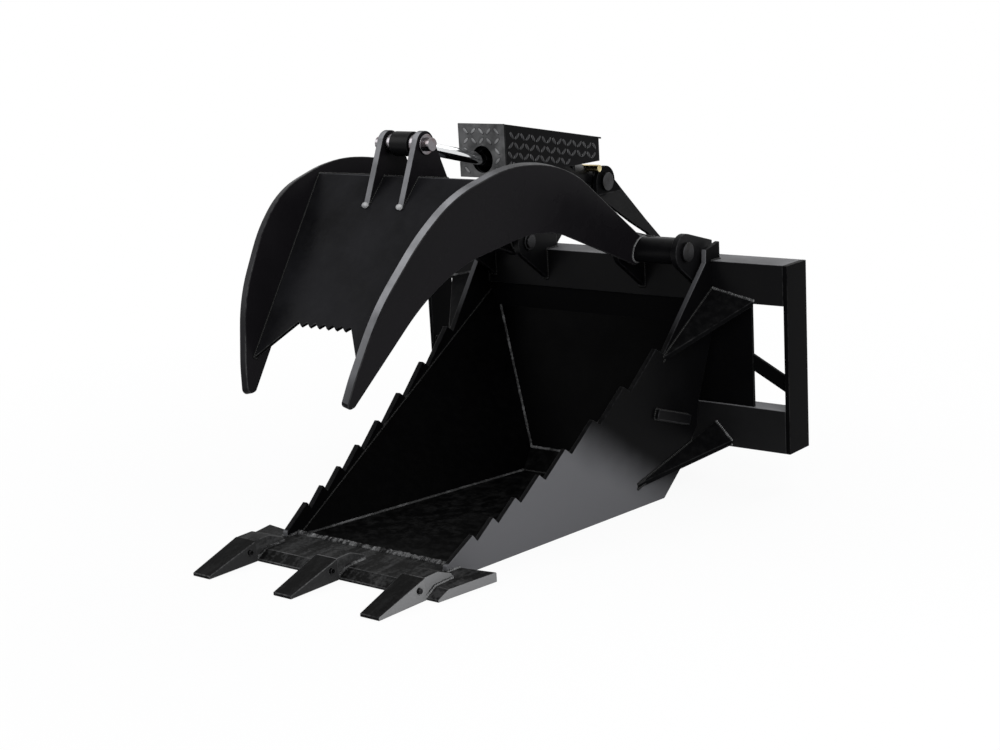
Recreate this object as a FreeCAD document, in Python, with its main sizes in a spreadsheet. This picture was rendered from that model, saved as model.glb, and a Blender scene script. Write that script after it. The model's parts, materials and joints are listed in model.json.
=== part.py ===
import FreeCAD, Part
import math
import operator
import os
from types import SimpleNamespace

import Sketcher
from FreeCAD import Placement, Rotation, Vector

# Stump grapple bucket for a skid-steer loader, in millimetres.
# X = 0 is the plane of symmetry, the teeth point to minus Y, the loader's plate faces plus Y
# and Z = 0 is the ground. The grapple stands half open.

doc = FreeCAD.newDocument("stump_grapple_bucket")

# Driving sizes. Names ending in _y or _z are places along the bucket and above the ground.
SIZES = {
    # Loader's mounting plate
    "mount_rear_y": 645,
    "mount_depth": 94,
    "mount_width": 1144,
    "mount_bottom_z": 88,
    "mount_height": 470,
    "mount_plate": 8,
    "end_plate": 12,
    "top_bar_height": 100,
    "top_lip_drop": 35,
    "bottom_bar_height": 108,
    "bottom_bar_ledge": 60,
    "lock_slot_margin": 72,
    "lock_slot_length": 60,
    "lock_slot_width": 32,
    "lock_slot_inset": 38,
    "window_width": 92,
    "brace_width": 42,
    "brace_height_z": 310,
    "brace_fall": 48,
    # Side plates: reach is the half width at Y = 0, flare is what it gains along Y
    "side_reach": 296.6,
    "side_flare": 0.11656,
    "side_plate": 14,
    "nose_y": -386,
    "nose_top_z": 34,
    "saw_first_y": -302,
    "saw_first_z": 83,
    "saw_pitch": 65,
    "saw_growth": 1.11,
    "saw_teeth": 8,
    "saw_slope": 0.3472,
    "saw_bow": 0.7774,
    "saw_drop": 17,
    "saw_undercut": 13,
    "saw_undercut_growth": 2,
    "side_crest_y": 530,
    "side_crest_drop": 2,
    "side_horn_y": 587,
    "side_shoulder": 32,
    "side_heel_radius": 20,
    "side_step_run": 71,
    "side_step_rise": 96,
    "side_back_z": 205,
    # Floor, heel, back and inclined liners
    "floor_plate": 12,
    "shell_plate": 10,
    "heel_y": 345,
    "heel_top_y": 407,
    "heel_top_z": 57,
    "back_top_z": 395,
    "liner_plate": 8,
    "liner_reach": 167.6,
    "liner_taper": 0.2048,
    "liner_lean": 0.6828,
    "rib_plate": 10,
    "rib_spacing": 300,
    "rib_top_drop": 40,
    # Cutting edge and teeth
    "edge_plate": 22,
    "edge_front_y": -500,
    "edge_rear_y": -350,
    "edge_front_half": 320,
    "wing_half": 348,
    "wing_rear_y": -335,
    "edge_bevel": 30,
    "edge_lip": 6,
    "tooth_tip_y": -645,
    "tooth_spacing": 255,
    "tooth_tip_width": 54,
    "tooth_root_width": 66,
    "tooth_tip_height": 8,
    "tooth_root_height": 50,
    "nose_length": 60,
    "nose_root_width": 44,
    "nose_tip_width": 30,
    "nose_root_low_z": 9,
    "nose_root_high_z": 42,
    "nose_tip_low_z": 14,
    "nose_tip_high_z": 27,
    "adapter_width": 60,
    "adapter_length": 90,
    "tooth_pin_radius": 6,
    "tooth_pin_length": 76,
    "tooth_pin_setback": 22,
    "tooth_pin_z": 28,
    "pin_hole_clearance": 0.1,
    # Gussets and the short bar on each side plate
    "gusset_plate": 12,
    "upper_gusset_y": 356,
    "upper_gusset_z": 353,
    "upper_gusset_top_z": 490,
    "upper_gusset_margin": 181.4,
    "upper_gusset_reach_z": 466,
    "lower_gusset_y": 245,
    "lower_gusset_z": 60,
    "lower_gusset_top_z": 150,
    "lower_gusset_margin": 109.4,
    "lower_gusset_reach_z": 104,
    "side_bar_y": 319,
    "side_bar_z": 220,
    "side_bar_run": 119.4,
    "side_bar_fall": 40.2,
    "side_bar_width": 24,
    "side_bar_plate": 12,
    # Grapple hinge
    "hinge_y": 477,
    "hinge_rise": 32,
    "hinge_pin_radius": 16,
    "running_fit": 0.05,
    "seat_gap": 0.05,
    "ear_plate": 16,
    "ear_inner": 146,
    "ear_outer": 336,
    "ear_radius": 45,
    "ear_rear_y": 597,
    "ear_rise": 44,
    "ear_root_drop": 78,
    "tie_plate": 12,
    "boss_radius": 32,
    "boss_play": 1,
    "bush_wall": 4,
    "bush_length": 30,
    "pin_head": 8,
    "ring_plate": 4,
    "ring_radius": 23,
    # Tower that holds the cylinder's base pin
    "base_pin_y": 545,
    "base_pin_rise": 187,
    "base_pin_radius": 15,
    "tower_plate": 12,
    "cheek_inner": 46,
    "cheek_radius": 40,
    "leg_bend_rise": 157,
    "leg_shoulder": 32,
    "leg_foot": 178,
    "leg_foot_front_y": 598,
    "leg_foot_rear_y": 642,
    "leg_kink_rise": 82,
    "leg_kink_front_y": 565,
    "leg_kink_rear_y": 626,
    "leg_clear_rise": 50,
    # Canted tines, with rises above the hinge: reach is the half spread at Z = 0, cant is what it gains along Z
    "tine_reach": 40.8,
    "tine_cant": 0.254,
    "tine_plate": 20,
    "tine_length": 1037,
    "tine_eye_radius": 38,
    "skin_plate": 8,
    "skin_bend_y": -177,
    "skin_bend_rise": 260,
    "skin_front_y": -520,
    "skin_front_rise": -99,
    "skin_rear_y": 20,
    "skin_rear_rise": 230,
    "skin_notch_half": 78,
    "skin_notch_depth": 102,
    "skin_saw_count": 6,
    "skin_saw_depth": 11,
    "skin_overcut": 20,
    "lug_pin_y": -145,
    "lug_pin_rise": 330,
    "lug_pin_radius": 15,
    "lug_offset": 51,
    "lug_plate": 16,
    "lug_radius": 30,
    "lug_toe": 86,
    "lug_heel": 104,
    "lug_pin_half": 80,
    # Hydraulic cylinder, measured from the base pin along its axis
    "barrel_radius": 38,
    "bore_radius": 32,
    "cap_start": 28,
    "bore_start": 62,
    "barrel_end": 388,
    "gland_length": 30,
    "gland_radius": 37,
    "gland_bore_radius": 29.5,
    "rod_radius": 15,
    "rod_eye_radius": 28,
    "rod_eye_width": 52,
    "rod_bush_wall": 4,
    "base_eye_radius": 30,
    "base_eye_width": 52,
    "piston_start": 230,
    "piston_length": 40,
    "piston_clearance": 0.05,
    "rod_gap": 4,
    "fitting_radius": 9,
    "fitting_reach": 66,
    "fitting_place": 44,
    "fitting_rise": 28,
    # Guard over the cylinder, with rises above the base pin
    "guard_front_y": 125,
    "guard_rear_y": 505,
    "guard_half": 70,
    "guard_sheet": 4,
    "guard_front_bottom_rise": 63,
    "guard_front_top_rise": 191,
    "guard_rear_bottom_rise": 58,
    "guard_rear_top_rise": 118,
    "guard_overhang": 11,
    "guard_hole_radius": 31,
    "bracket_plate": 6,
    "bracket_half": 36,
    "bracket_front_y": 250,
    "bracket_rear_y": 440,
}

sheet = doc.addObject("Spreadsheet::Sheet", "Sizes")
for row, (name, value) in enumerate(SIZES.items(), start=1):
    sheet.set(f"A{row}", name)
    sheet.set(f"B{row}", str(value))
    sheet.setAlias(f"B{row}", name)
doc.recompute()


class Size:
    """A number together with the sheet formula that gives it."""

    def __init__(self, number, formula):
        self.number = number
        self.formula = formula

    def __add__(self, other):
        return combine(self, "+", other)

    def __radd__(self, other):
        return combine(other, "+", self)

    def __sub__(self, other):
        return combine(self, "-", other)

    def __rsub__(self, other):
        return combine(other, "-", self)

    def __mul__(self, other):
        return combine(self, "*", other)

    def __rmul__(self, other):
        return combine(other, "*", self)

    def __truediv__(self, other):
        return combine(self, "/", other)

    def __rtruediv__(self, other):
        return combine(other, "/", self)

    def __neg__(self):
        return combine(0, "-", self)


OPERATIONS = {
    "+": operator.add,
    "-": operator.sub,
    "*": operator.mul,
    "/": operator.truediv,
}


def number(value):
    """The plain number of a size."""
    return value.number if isinstance(value, Size) else float(value)


def formula(value):
    """The sheet formula of a size."""
    return value.formula if isinstance(value, Size) else repr(float(value))


def combine(left, sign, right):
    result = OPERATIONS[sign](number(left), number(right))
    return Size(result, f"({formula(left)} {sign} {formula(right)})")


def root(value):
    return Size(math.sqrt(number(value)), f"sqrt({formula(value)})")


def slope_angle(value):
    """The angle in degrees whose tangent is the value."""
    return Size(math.degrees(math.atan(number(value))), f"(atan({formula(value)}) / 1 deg)")


size = SimpleNamespace(**{name: Size(sheet.get(name), f"Sizes.{name}") for name in SIZES})
nodes = []


# Building blocks

def bind(thing, path, value):
    """Tie one property of an object to its sheet formula."""
    thing.setExpression(path, formula(value))


def place(thing, x=0, y=0, z=0, axis=(0, 0, 1), angle=0):
    """Put an object at a place tied to the sheet, turned about one axis by an angle in degrees."""
    base = Vector(number(x), number(y), number(z))
    thing.Placement = Placement(base, Rotation(Vector(*axis), number(angle)))
    for path, value in (("x", x), ("y", y), ("z", z)):
        bind(thing, f"Placement.Base.{path}", value)
    if isinstance(angle, Size):
        bind(thing, "Placement.Rotation.Angle", angle)
    return thing


def draw(body, role, corners, circles=()):
    """Add a sketch to a body: a closed outline and round holes.

    A corner is (across, up) or (across, up, radius); a circle is (across, up, radius).
    """
    sketch = body.newObject("Sketcher::SketchObject", f"{body.Name}_sketch")
    plane = next(item for item in body.Origin.OriginFeatures if item.Role == role)
    sketch.AttachmentSupport = [(plane, "")]
    sketch.MapMode = "FlatFace"
    places = [Vector(number(corner[0]), number(corner[1]), 0) for corner in corners]
    count = len(places)
    cutbacks = [round_cutback(places, index, corner) for index, corner in enumerate(corners)]
    for index, here in enumerate(places):
        following = places[(index + 1) % count]
        along = (following - here).normalize()
        start = here + along * cutbacks[index]
        end = following - along * cutbacks[(index + 1) % count]
        sketch.addGeometry(Part.LineSegment(start, end), False)
    for index, corner in enumerate(corners):
        before = (index - 1) % count
        if cutbacks[index]:
            round_corner(sketch, places, index, corner, cutbacks[index])
        else:
            sketch.addConstraint(Sketcher.Constraint("Coincident", before, 2, index, 1))
            pin_point(sketch, index, 1, corner)
    for circle in circles:
        middle = Vector(number(circle[0]), number(circle[1]), 0)
        ring = sketch.addGeometry(Part.Circle(middle, Vector(0, 0, 1), number(circle[2])), False)
        pin_point(sketch, ring, 3, circle)
        pin_radius(sketch, ring, circle[2])
    return sketch


def round_cutback(places, index, corner):
    """How far a corner's rounding reaches along its two sides."""
    if len(corner) < 3:
        return 0
    here = places[index]
    back = places[index - 1] - here
    ahead = places[(index + 1) % len(places)] - here
    return number(corner[2]) / math.tan(back.getAngle(ahead) / 2)


def round_corner(sketch, places, index, corner, cutback):
    """Round one corner with an arc that stays tangent to both sides."""
    here = places[index]
    before = (index - 1) % len(places)
    back = (places[before] - here).normalize()
    ahead = (places[(index + 1) % len(places)] - here).normalize()
    first = here + back * cutback
    last = here + ahead * cutback
    bisector = (back + ahead).normalize()
    middle = here + bisector * math.hypot(cutback, number(corner[2]))
    left_turn = back.cross(ahead).z < 0
    start, end = (first, last) if left_turn else (last, first)
    turn = [math.atan2(spot.y - middle.y, spot.x - middle.x) for spot in (start, end)]
    circle = Part.Circle(middle, Vector(0, 0, 1), number(corner[2]))
    arc = sketch.addGeometry(Part.ArcOfCircle(circle, turn[0], turn[1]), False)
    first_end, last_end = (1, 2) if left_turn else (2, 1)
    sketch.addConstraint(Sketcher.Constraint("Tangent", before, 2, arc, first_end))
    sketch.addConstraint(Sketcher.Constraint("Tangent", index, 1, arc, last_end))
    pin_radius(sketch, arc, corner[2])
    spot = sketch.addGeometry(Part.Point(here), True)
    sketch.addConstraint(Sketcher.Constraint("PointOnObject", spot, 1, before))
    sketch.addConstraint(Sketcher.Constraint("PointOnObject", spot, 1, index))
    pin_point(sketch, spot, 1, corner)


def pin_point(sketch, geometry, end, spot):
    """Tie a point of a sketch to its two sheet formulas."""
    for kind, value in (("DistanceX", spot[0]), ("DistanceY", spot[1])):
        row = sketch.addConstraint(Sketcher.Constraint(kind, -1, 1, geometry, end, number(value)))
        bind(sketch, f"Constraints[{row}]", value)


def pin_radius(sketch, geometry, radius):
    row = sketch.addConstraint(Sketcher.Constraint("Radius", geometry, number(radius)))
    bind(sketch, f"Constraints[{row}]", radius)


def plate(label, role, corners, thickness, circles=()):
    """A flat piece: an outline on one origin plane, padded along the plane's normal."""
    body = doc.addObject("PartDesign::Body", label)
    sketch = draw(body, role, corners, circles)
    pad = body.newObject("PartDesign::Pad", f"{label}_pad")
    pad.Profile = sketch
    bind(pad, "Length", thickness)
    return body


def rectangle(left, right, low, high):
    return [(left, low), (right, low), (right, high), (left, high)]


def block(label, x, y, z, length, width, height):
    """A plain block from its lowest corner."""
    box = doc.addObject("Part::Box", label)
    for path, value in (("Length", length), ("Width", width), ("Height", height)):
        bind(box, path, value)
    return place(box, x, y, z)


def rod_across(label, radius, left, right, y, z):
    """A round bar along X."""
    bar = doc.addObject("Part::Cylinder", label)
    bind(bar, "Radius", radius)
    bind(bar, "Height", right - left)
    return place(bar, left, y, z, (0, 1, 0), 90)


def fuse(label, *pieces):
    joined = doc.addObject("Part::MultiFuse", label)
    joined.Shapes = list(pieces)
    return joined


def cut(label, base, *tools):
    """One piece less one or more others."""
    result = doc.addObject("Part::Cut", label)
    result.Base = base
    result.Tool = tools[0] if len(tools) == 1 else fuse(f"{label}_tools", *tools)
    return result


def group(label, *pieces):
    """Separate solids that share one node."""
    result = doc.addObject("Part::Compound", label)
    result.Links = list(pieces)
    return result


def mirror(label, source):
    """The same piece on the other side of the plane of symmetry."""
    result = doc.addObject("Part::Mirroring", label)
    result.Source = source
    result.Normal = (1, 0, 0)
    result.Base = (0, 0, 0)
    return result


def sloped_solid(label, near, far):
    """A closed solid between two flat outlines whose matching corners are joined."""
    near = [Vector(*(number(value) for value in corner)) for corner in near]
    far = [Vector(*(number(value) for value in corner)) for corner in far]
    faces = [Part.Face(Part.makePolygon(ring + ring[:1])) for ring in (near, far)]
    for index, corner in enumerate(near):
        after = (index + 1) % len(near)
        side = [corner, near[after], far[after], far[index], corner]
        faces.append(Part.Face(Part.makePolygon(side)))
    solid = Part.Solid(Part.Shell(faces))
    solid.fix(0.001, 0.001, 0.001)
    if solid.Volume < 0:
        solid.reverse()
    piece = doc.addObject("Part::Feature", label)
    piece.Shape = solid
    return piece


def node(piece):
    """Keep a finished piece for the export."""
    piece.Label = piece.Name
    nodes.append(piece)
    return piece


def pair(right_piece):
    """Keep a right hand piece and its mirrored partner."""
    node(right_piece)
    return node(mirror(right_piece.Name.replace("_right", "_left"), right_piece))


# Mounting plate for the loader

mount_front = size.mount_rear_y - size.mount_depth
bar_rear = mount_front + size.mount_plate
mating_face = bar_rear + size.mount_plate
mount_top = size.mount_bottom_z + size.mount_height
top_bar_low = mount_top - size.top_bar_height
bottom_bar_top = size.mount_bottom_z + size.bottom_bar_height
mount_half = size.mount_width / 2
bar_half = mount_half - size.end_plate
centre_half = bar_half - size.window_width


def mount_bar(label, section):
    """A bent bar between the two end plates, from its section."""
    bar = plate(label, "YZ_Plane", section, bar_half * 2)
    return place(bar, -bar_half)


def make_mount():
    rear = size.mount_rear_y
    wall = size.mount_plate
    node(mount_bar("mount_top_bar", [
        (mount_front, top_bar_low),
        (bar_rear, top_bar_low),
        (bar_rear, mount_top - wall),
        (rear - wall, mount_top - wall),
        (rear - wall, mount_top - size.top_lip_drop),
        (rear, mount_top - size.top_lip_drop),
        (rear, mount_top),
        (mount_front, mount_top),
    ]))
    low = size.mount_bottom_z
    ledge_rear = mount_front + size.bottom_bar_ledge
    channel = mount_bar("bottom_channel", [
        (mount_front, low),
        (rear, low),
        (rear, low + wall),
        (bar_rear, low + wall),
        (bar_rear, bottom_bar_top - wall),
        (ledge_rear, bottom_bar_top - wall),
        (ledge_rear, bottom_bar_top),
        (mount_front, bottom_bar_top),
    ])
    slots = [lock_slot(side) for side in (-1, 1)]
    node(cut("mount_bottom_bar", channel, *slots))
    centre = plate(
        "mount_centre_plate", "XZ_Plane",
        rectangle(-centre_half, centre_half, bottom_bar_top, mount_top - wall), wall,
    )
    node(place(centre, 0, mating_face))
    end_outline = [
        (mount_front, low),
        (rear, low),
        (rear, mount_top),
        (mount_front, mount_top),
    ]
    end = plate("mount_end_right", "YZ_Plane", end_outline, size.end_plate)
    pair(place(end, bar_half))
    half = size.brace_width / 2
    brace = plate("window_brace_right", "XZ_Plane", [
        (centre_half, size.brace_height_z - half),
        (bar_half, size.brace_height_z - size.brace_fall - half),
        (bar_half, size.brace_height_z - size.brace_fall + half),
        (centre_half, size.brace_height_z + half),
    ], wall)
    pair(place(brace, 0, mating_face))


def lock_slot(side):
    """The slot in the bottom flange that takes one of the loader's wedge pins."""
    radius = size.lock_slot_width / 2
    straight = size.lock_slot_length / 2 - radius
    name = "left" if side < 0 else "right"
    x = (mount_half - size.lock_slot_margin) * side
    y = size.mount_rear_y - size.lock_slot_inset
    overcut = size.mount_plate
    z = size.mount_bottom_z - overcut
    depth = size.mount_plate + overcut * 2
    middle = block(f"slot_middle_{name}", x - straight, y - radius, z, straight * 2, radius * 2, depth)
    ends = []
    for step in (-1, 1):
        end = doc.addObject("Part::Cylinder", f"slot_end_{name}_{step + 1}")
        bind(end, "Radius", radius)
        bind(end, "Height", depth)
        ends.append(place(end, x + straight * step, y, z))
    return fuse(f"lock_slot_{name}", middle, *ends)


# Bucket shell

side_stretch = root(1 + size.side_flare * size.side_flare)
side_crest_z = mount_top - size.side_crest_drop


def side_outer(y):
    """Half width of the bucket over the side plates at a place along it."""
    return size.side_reach + size.side_flare * y


def side_inner(y):
    return side_outer(y) - size.side_plate * side_stretch


def on_side_plate(corners):
    """Corners given along the bucket, stretched onto the flared side plate."""
    return [(corner[0] * side_stretch, *corner[1:]) for corner in corners]


def place_on_side(piece, outward):
    """Put a piece against the side plate's outer face, or inside it."""
    shift = outward * side_stretch
    return place(piece, size.side_reach + shift, 0, 0, (0, 0, 1), -slope_angle(size.side_flare))


def saw_edge():
    """Teeth along the sloping edge, from the rear one down to the first one at the nose."""
    corners = []
    for index in reversed(range(int(size.saw_teeth.number))):
        growth = sum(size.saw_growth.number ** step for step in range(index))
        run = size.saw_pitch * growth
        tip_y = size.saw_first_y + run
        pitches = run / size.saw_pitch
        tip_z = size.saw_first_z + size.saw_slope * run + size.saw_bow * pitches * pitches
        root_y = tip_y + size.saw_undercut + size.saw_undercut_growth * index
        corners.append((root_y, tip_z - size.saw_drop))
        corners.append((tip_y, tip_z))
    return corners


def back_rear_y(z):
    """Rear face of the sloping back plate at a height."""
    run = bar_rear - size.heel_top_y
    rise = size.back_top_z - size.heel_top_z
    tilt = root(run * run + rise * rise) / rise
    return size.heel_top_y + (z - size.heel_top_z) * run / rise + size.shell_plate * tilt


def make_sides():
    step_y = size.edge_rear_y + size.side_plate * size.side_flare / side_stretch
    corners = [
        (size.nose_y, size.edge_plate),
        (step_y, size.edge_plate),
        (step_y, 0),
        (size.heel_y, 0),
        (size.heel_top_y, size.heel_top_z, size.side_heel_radius),
        (size.heel_top_y + size.side_step_run, size.heel_top_z + size.side_step_rise),
        (back_rear_y(size.side_back_z), size.side_back_z),
        (bar_rear, size.back_top_z + size.shell_plate),
        (bar_rear, top_bar_low),
        (mount_front, top_bar_low),
        (mount_front, mount_top),
        (size.side_horn_y, mount_top),
        (size.side_horn_y, mount_top + size.ear_rise),
        (size.side_crest_y + size.saw_undercut_growth, side_crest_z + size.side_shoulder),
        (size.side_crest_y, side_crest_z),
    ]
    outline = on_side_plate(corners + saw_edge() + [(size.nose_y, size.nose_top_z)])
    side = plate("side_plate_right", "YZ_Plane", outline, size.side_plate)
    pair(place_on_side(side, -size.side_plate))


def make_floor():
    front = side_inner(size.edge_rear_y)
    rear = side_inner(size.heel_y)
    node(plate("floor_plate", "XY_Plane", [
        (-front, size.edge_rear_y),
        (front, size.edge_rear_y),
        (rear, size.heel_y),
        (-rear, size.heel_y),
    ], size.floor_plate))


def sloping_plate(label, low, high, thickness):
    """A plate between the side plates from one (y, z) line up to another, behind that slope."""
    run = high[0] - low[0]
    rise = high[1] - low[1]
    length = root(run * run + rise * rise)
    bottom = side_inner(low[0])
    top = side_inner(high[0])
    piece = plate(label, "XY_Plane", [(-bottom, 0), (bottom, 0), (top, length), (-top, length)], thickness)
    angle = slope_angle(rise / run)
    shift_y = thickness * rise / length
    shift_z = thickness * run / length
    return place(piece, 0, low[0] + shift_y, low[1] - shift_z, (1, 0, 0), angle)


def make_heel_and_back():
    heel = (size.heel_y, size.floor_plate)
    corner = (size.heel_top_y, size.heel_top_z)
    node(sloping_plate("heel_plate", heel, corner, size.shell_plate))
    back = sloping_plate("back_blank", corner, (bar_rear, size.back_top_z), size.shell_plate)
    behind = block(
        "mount_space", -mount_half, bar_rear, 0, mount_half * 2, size.mount_depth, mount_top,
    )
    node(cut("back_plate", back, behind))


def liner_half(y, z, offset):
    """Half width of the inclined liner's inner face, or of its outer face with an offset."""
    return size.liner_reach + offset - size.liner_taper * y + size.liner_lean * (z - size.floor_plate / 2)


def liner_outline(offset):
    """The liner's corners, each where its face meets the floor, heel, back and side plates."""
    level = size.floor_plate
    spread = size.liner_taper + size.side_flare
    gap = liner_half(0, level, offset) - side_inner(0)
    point_y = gap / spread
    rise_end = (side_inner(bar_rear) - liner_half(bar_rear, 0, offset)) / size.liner_lean
    spots = [
        (point_y, level),
        (size.heel_y, level),
        (size.heel_top_y, size.heel_top_z),
        (bar_rear, size.back_top_z),
        (bar_rear, rise_end),
    ]
    return [(liner_half(y, z, offset), y, z) for y, z in spots]


def make_liners():
    slant = root(1 + size.liner_taper * size.liner_taper + size.liner_lean * size.liner_lean)
    inner = liner_outline(0)
    outer = liner_outline(size.liner_plate * slant)
    space = block("bar_space", 0, mount_front, top_bar_low, mount_half, size.mount_plate, size.top_bar_height)
    pair(cut("liner_right", sloped_solid("liner_blank", inner, outer), space))


def make_ribs():
    """Two ribs that fill the wedge between the back plate and the mounting plate."""
    low = size.mount_bottom_z
    high = size.back_top_z - size.rib_top_drop
    outline = [
        (back_rear_y(low), low),
        (mount_front, low),
        (mount_front, bottom_bar_top),
        (bar_rear, bottom_bar_top),
        (bar_rear, high),
        (back_rear_y(high), high),
    ]
    ribs = []
    for side in (-1, 1):
        rib = plate(f"rib_{side + 1}", "YZ_Plane", outline, size.rib_plate)
        ribs.append(place(rib, size.rib_spacing / 2 * side - size.rib_plate / 2))
    node(group("back_ribs", *ribs))


# Cutting edge, adapters and teeth

def make_cutting_edge():
    tail = side_outer(size.edge_rear_y)
    plan = plate("edge_plan", "XY_Plane", [
        (-size.edge_front_half, size.edge_front_y),
        (size.edge_front_half, size.edge_front_y),
        (size.wing_half, size.wing_rear_y),
        (tail, size.edge_rear_y),
        (-tail, size.edge_rear_y),
        (-size.wing_half, size.wing_rear_y),
    ], size.edge_plate)
    section = plate("edge_section", "YZ_Plane", [
        (size.edge_front_y, 0),
        (size.wing_rear_y, 0),
        (size.wing_rear_y, size.edge_plate),
        (size.edge_front_y + size.edge_bevel, size.edge_plate),
        (size.edge_front_y, size.edge_lip),
    ], size.wing_half * 2)
    place(section, -size.wing_half)
    edge = doc.addObject("Part::Common", "cutting_edge")
    edge.Base = plan
    edge.Tool = section
    node(edge)


def taper_block(label, x, tip, root_end):
    """A block tapering along Y; each end is (y, width, low, high)."""
    wedge = doc.addObject("Part::Wedge", label)
    settings = {
        "Ymin": tip[0], "Xmin": -tip[1] / 2, "Xmax": tip[1] / 2, "Zmin": tip[2], "Zmax": tip[3],
        "Ymax": root_end[0], "X2min": -root_end[1] / 2, "X2max": root_end[1] / 2,
        "Z2min": root_end[2], "Z2max": root_end[3],
    }
    wedge.Ymax = number(root_end[0]) + 1
    wedge.Ymin = number(tip[0])
    for path, value in settings.items():
        bind(wedge, path, value)
    return place(wedge, x)


def make_teeth():
    front = size.edge_front_y
    adapters = []
    pins = []
    pin_y = front - size.tooth_pin_setback
    for side, name in ((-1, "left"), (0, "middle"), (1, "right")):
        x = size.tooth_spacing * side
        nose = taper_block(
            f"nose_{name}", x,
            (front - size.nose_length, size.nose_tip_width, size.nose_tip_low_z, size.nose_tip_high_z),
            (front, size.nose_root_width, size.nose_root_low_z, size.nose_root_high_z),
        )
        base = plate(f"adapter_base_{name}", "YZ_Plane", [
            (front, size.edge_lip),
            (front + size.edge_bevel, size.edge_plate),
            (front + size.adapter_length, size.edge_plate),
            (front + size.adapter_length, size.edge_plate + size.shell_plate),
            (front + size.adapter_length / 2, size.tooth_root_height),
            (front, size.tooth_root_height),
        ], size.adapter_width)
        place(base, x - size.adapter_width / 2)
        left = x - size.tooth_pin_length / 2
        right = x + size.tooth_pin_length / 2
        pins.append(rod_across(f"pin_{name}", size.tooth_pin_radius, left, right, pin_y, size.tooth_pin_z))
        hole_radius = size.tooth_pin_radius + size.pin_hole_clearance
        hole = rod_across(f"pin_hole_{name}", hole_radius, left, right, pin_y, size.tooth_pin_z)
        adapters.append(cut(f"adapter_{name}", fuse(f"adapter_blank_{name}", nose, base), hole))
        chisel = taper_block(
            f"chisel_{name}", x,
            (size.tooth_tip_y, size.tooth_tip_width, 0, size.tooth_tip_height),
            (front, size.tooth_root_width, 0, size.tooth_root_height),
        )
        node(cut(f"tooth_{name}", chisel, nose, hole))
    node(group("tooth_adapters", *adapters))
    node(group("tooth_pins", *pins))


# Gussets and bars outside the side plates

def gusset(label, front_y, front_z, top_z, margin, reach_z):
    """A three cornered plate: one edge on the side plate, one on the mount's front face.

    Its outer corner stands on the mount, the margin further out than the side plates' reach.
    """
    corners = [
        (side_outer(front_y), front_y, front_z),
        (side_outer(mount_front), mount_front, top_z),
        (size.side_reach + margin, mount_front, reach_z),
    ]
    lowered = [(x, y, z - size.gusset_plate) for x, y, z in corners]
    pair(sloped_solid(label, corners, lowered))


def make_gussets():
    gusset(
        "upper_gusset_right", size.upper_gusset_y, size.upper_gusset_z, size.upper_gusset_top_z,
        size.upper_gusset_margin, size.upper_gusset_reach_z,
    )
    gusset(
        "lower_gusset_right", size.lower_gusset_y, size.lower_gusset_z, size.lower_gusset_top_z,
        size.lower_gusset_margin, size.lower_gusset_reach_z,
    )


def make_side_bar():
    """The short bar welded on the outside of each side plate, from its front end down to its rear."""
    run = size.side_bar_run
    fall = size.side_bar_fall
    length = root(run * run + fall * fall)
    shift_y = size.side_bar_width / 2 * fall / length
    shift_z = size.side_bar_width / 2 * run / length
    front_y, front_z = size.side_bar_y, size.side_bar_z
    rear_y, rear_z = front_y + run, front_z - fall
    outline = on_side_plate([
        (front_y - shift_y, front_z - shift_z),
        (rear_y - shift_y, rear_z - shift_z),
        (rear_y + shift_y, rear_z + shift_z),
        (front_y + shift_y, front_z + shift_z),
    ])
    bar = plate("side_bar_right", "YZ_Plane", outline, size.side_bar_plate)
    pair(place_on_side(bar, 0))


# Grapple hinge on the mount's top bar

ear_inner_far = size.ear_inner + size.ear_plate
ear_outer_near = size.ear_outer - size.ear_plate
hinge_z = mount_top + size.hinge_rise
hinge = (size.hinge_y, hinge_z)
ear_top = mount_top + size.ear_rise
hinge_bore = size.hinge_pin_radius + size.running_fit


def touch(centre, radius, spot, side):
    """Where a straight side from a spot touches a circle, on its left (1) or right (-1)."""
    across = spot[0] - centre[0]
    up = spot[1] - centre[1]
    distance = across * across + up * up
    near = radius * radius / distance
    wide = radius * root(distance - radius * radius) / distance * side
    return (centre[0] + near * across - wide * up, centre[1] + near * up + wide * across)


def make_ear(label, x):
    rear = (size.ear_rear_y, ear_top)
    foot = (mount_front, mount_top - size.ear_root_drop)
    outline = [
        touch(hinge, size.ear_radius, foot, -1),
        foot,
        (mount_front, mount_top),
        (size.ear_rear_y, mount_top),
        rear,
        touch(hinge, size.ear_radius, rear, 1),
    ]
    flat = place(plate(f"{label}_flat", "YZ_Plane", outline, size.ear_plate), x)
    nose = rod_across(f"{label}_nose", size.ear_radius, x, x + size.ear_plate, *hinge)
    bore = rod_across(f"{label}_bore", hinge_bore, x, x + size.ear_plate, *hinge)
    pair(cut(label, fuse(f"{label}_blank", flat, nose), bore))


def pin_with_head(label, radius, left, right, spot):
    """A pin along X with a round head at its right end."""
    shaft = rod_across(f"{label}_shaft", radius, left, right, *spot)
    head_radius = radius + size.pin_head
    head = rod_across(f"{label}_head", head_radius, right, right + size.pin_head, *spot)
    return fuse(label, shaft, head)


def ring_across(label, outer, inner, left, right, spot):
    blank = rod_across(f"{label}_blank", outer, left, right, *spot)
    return cut(label, blank, rod_across(f"{label}_bore", inner, left, right, *spot))


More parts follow.
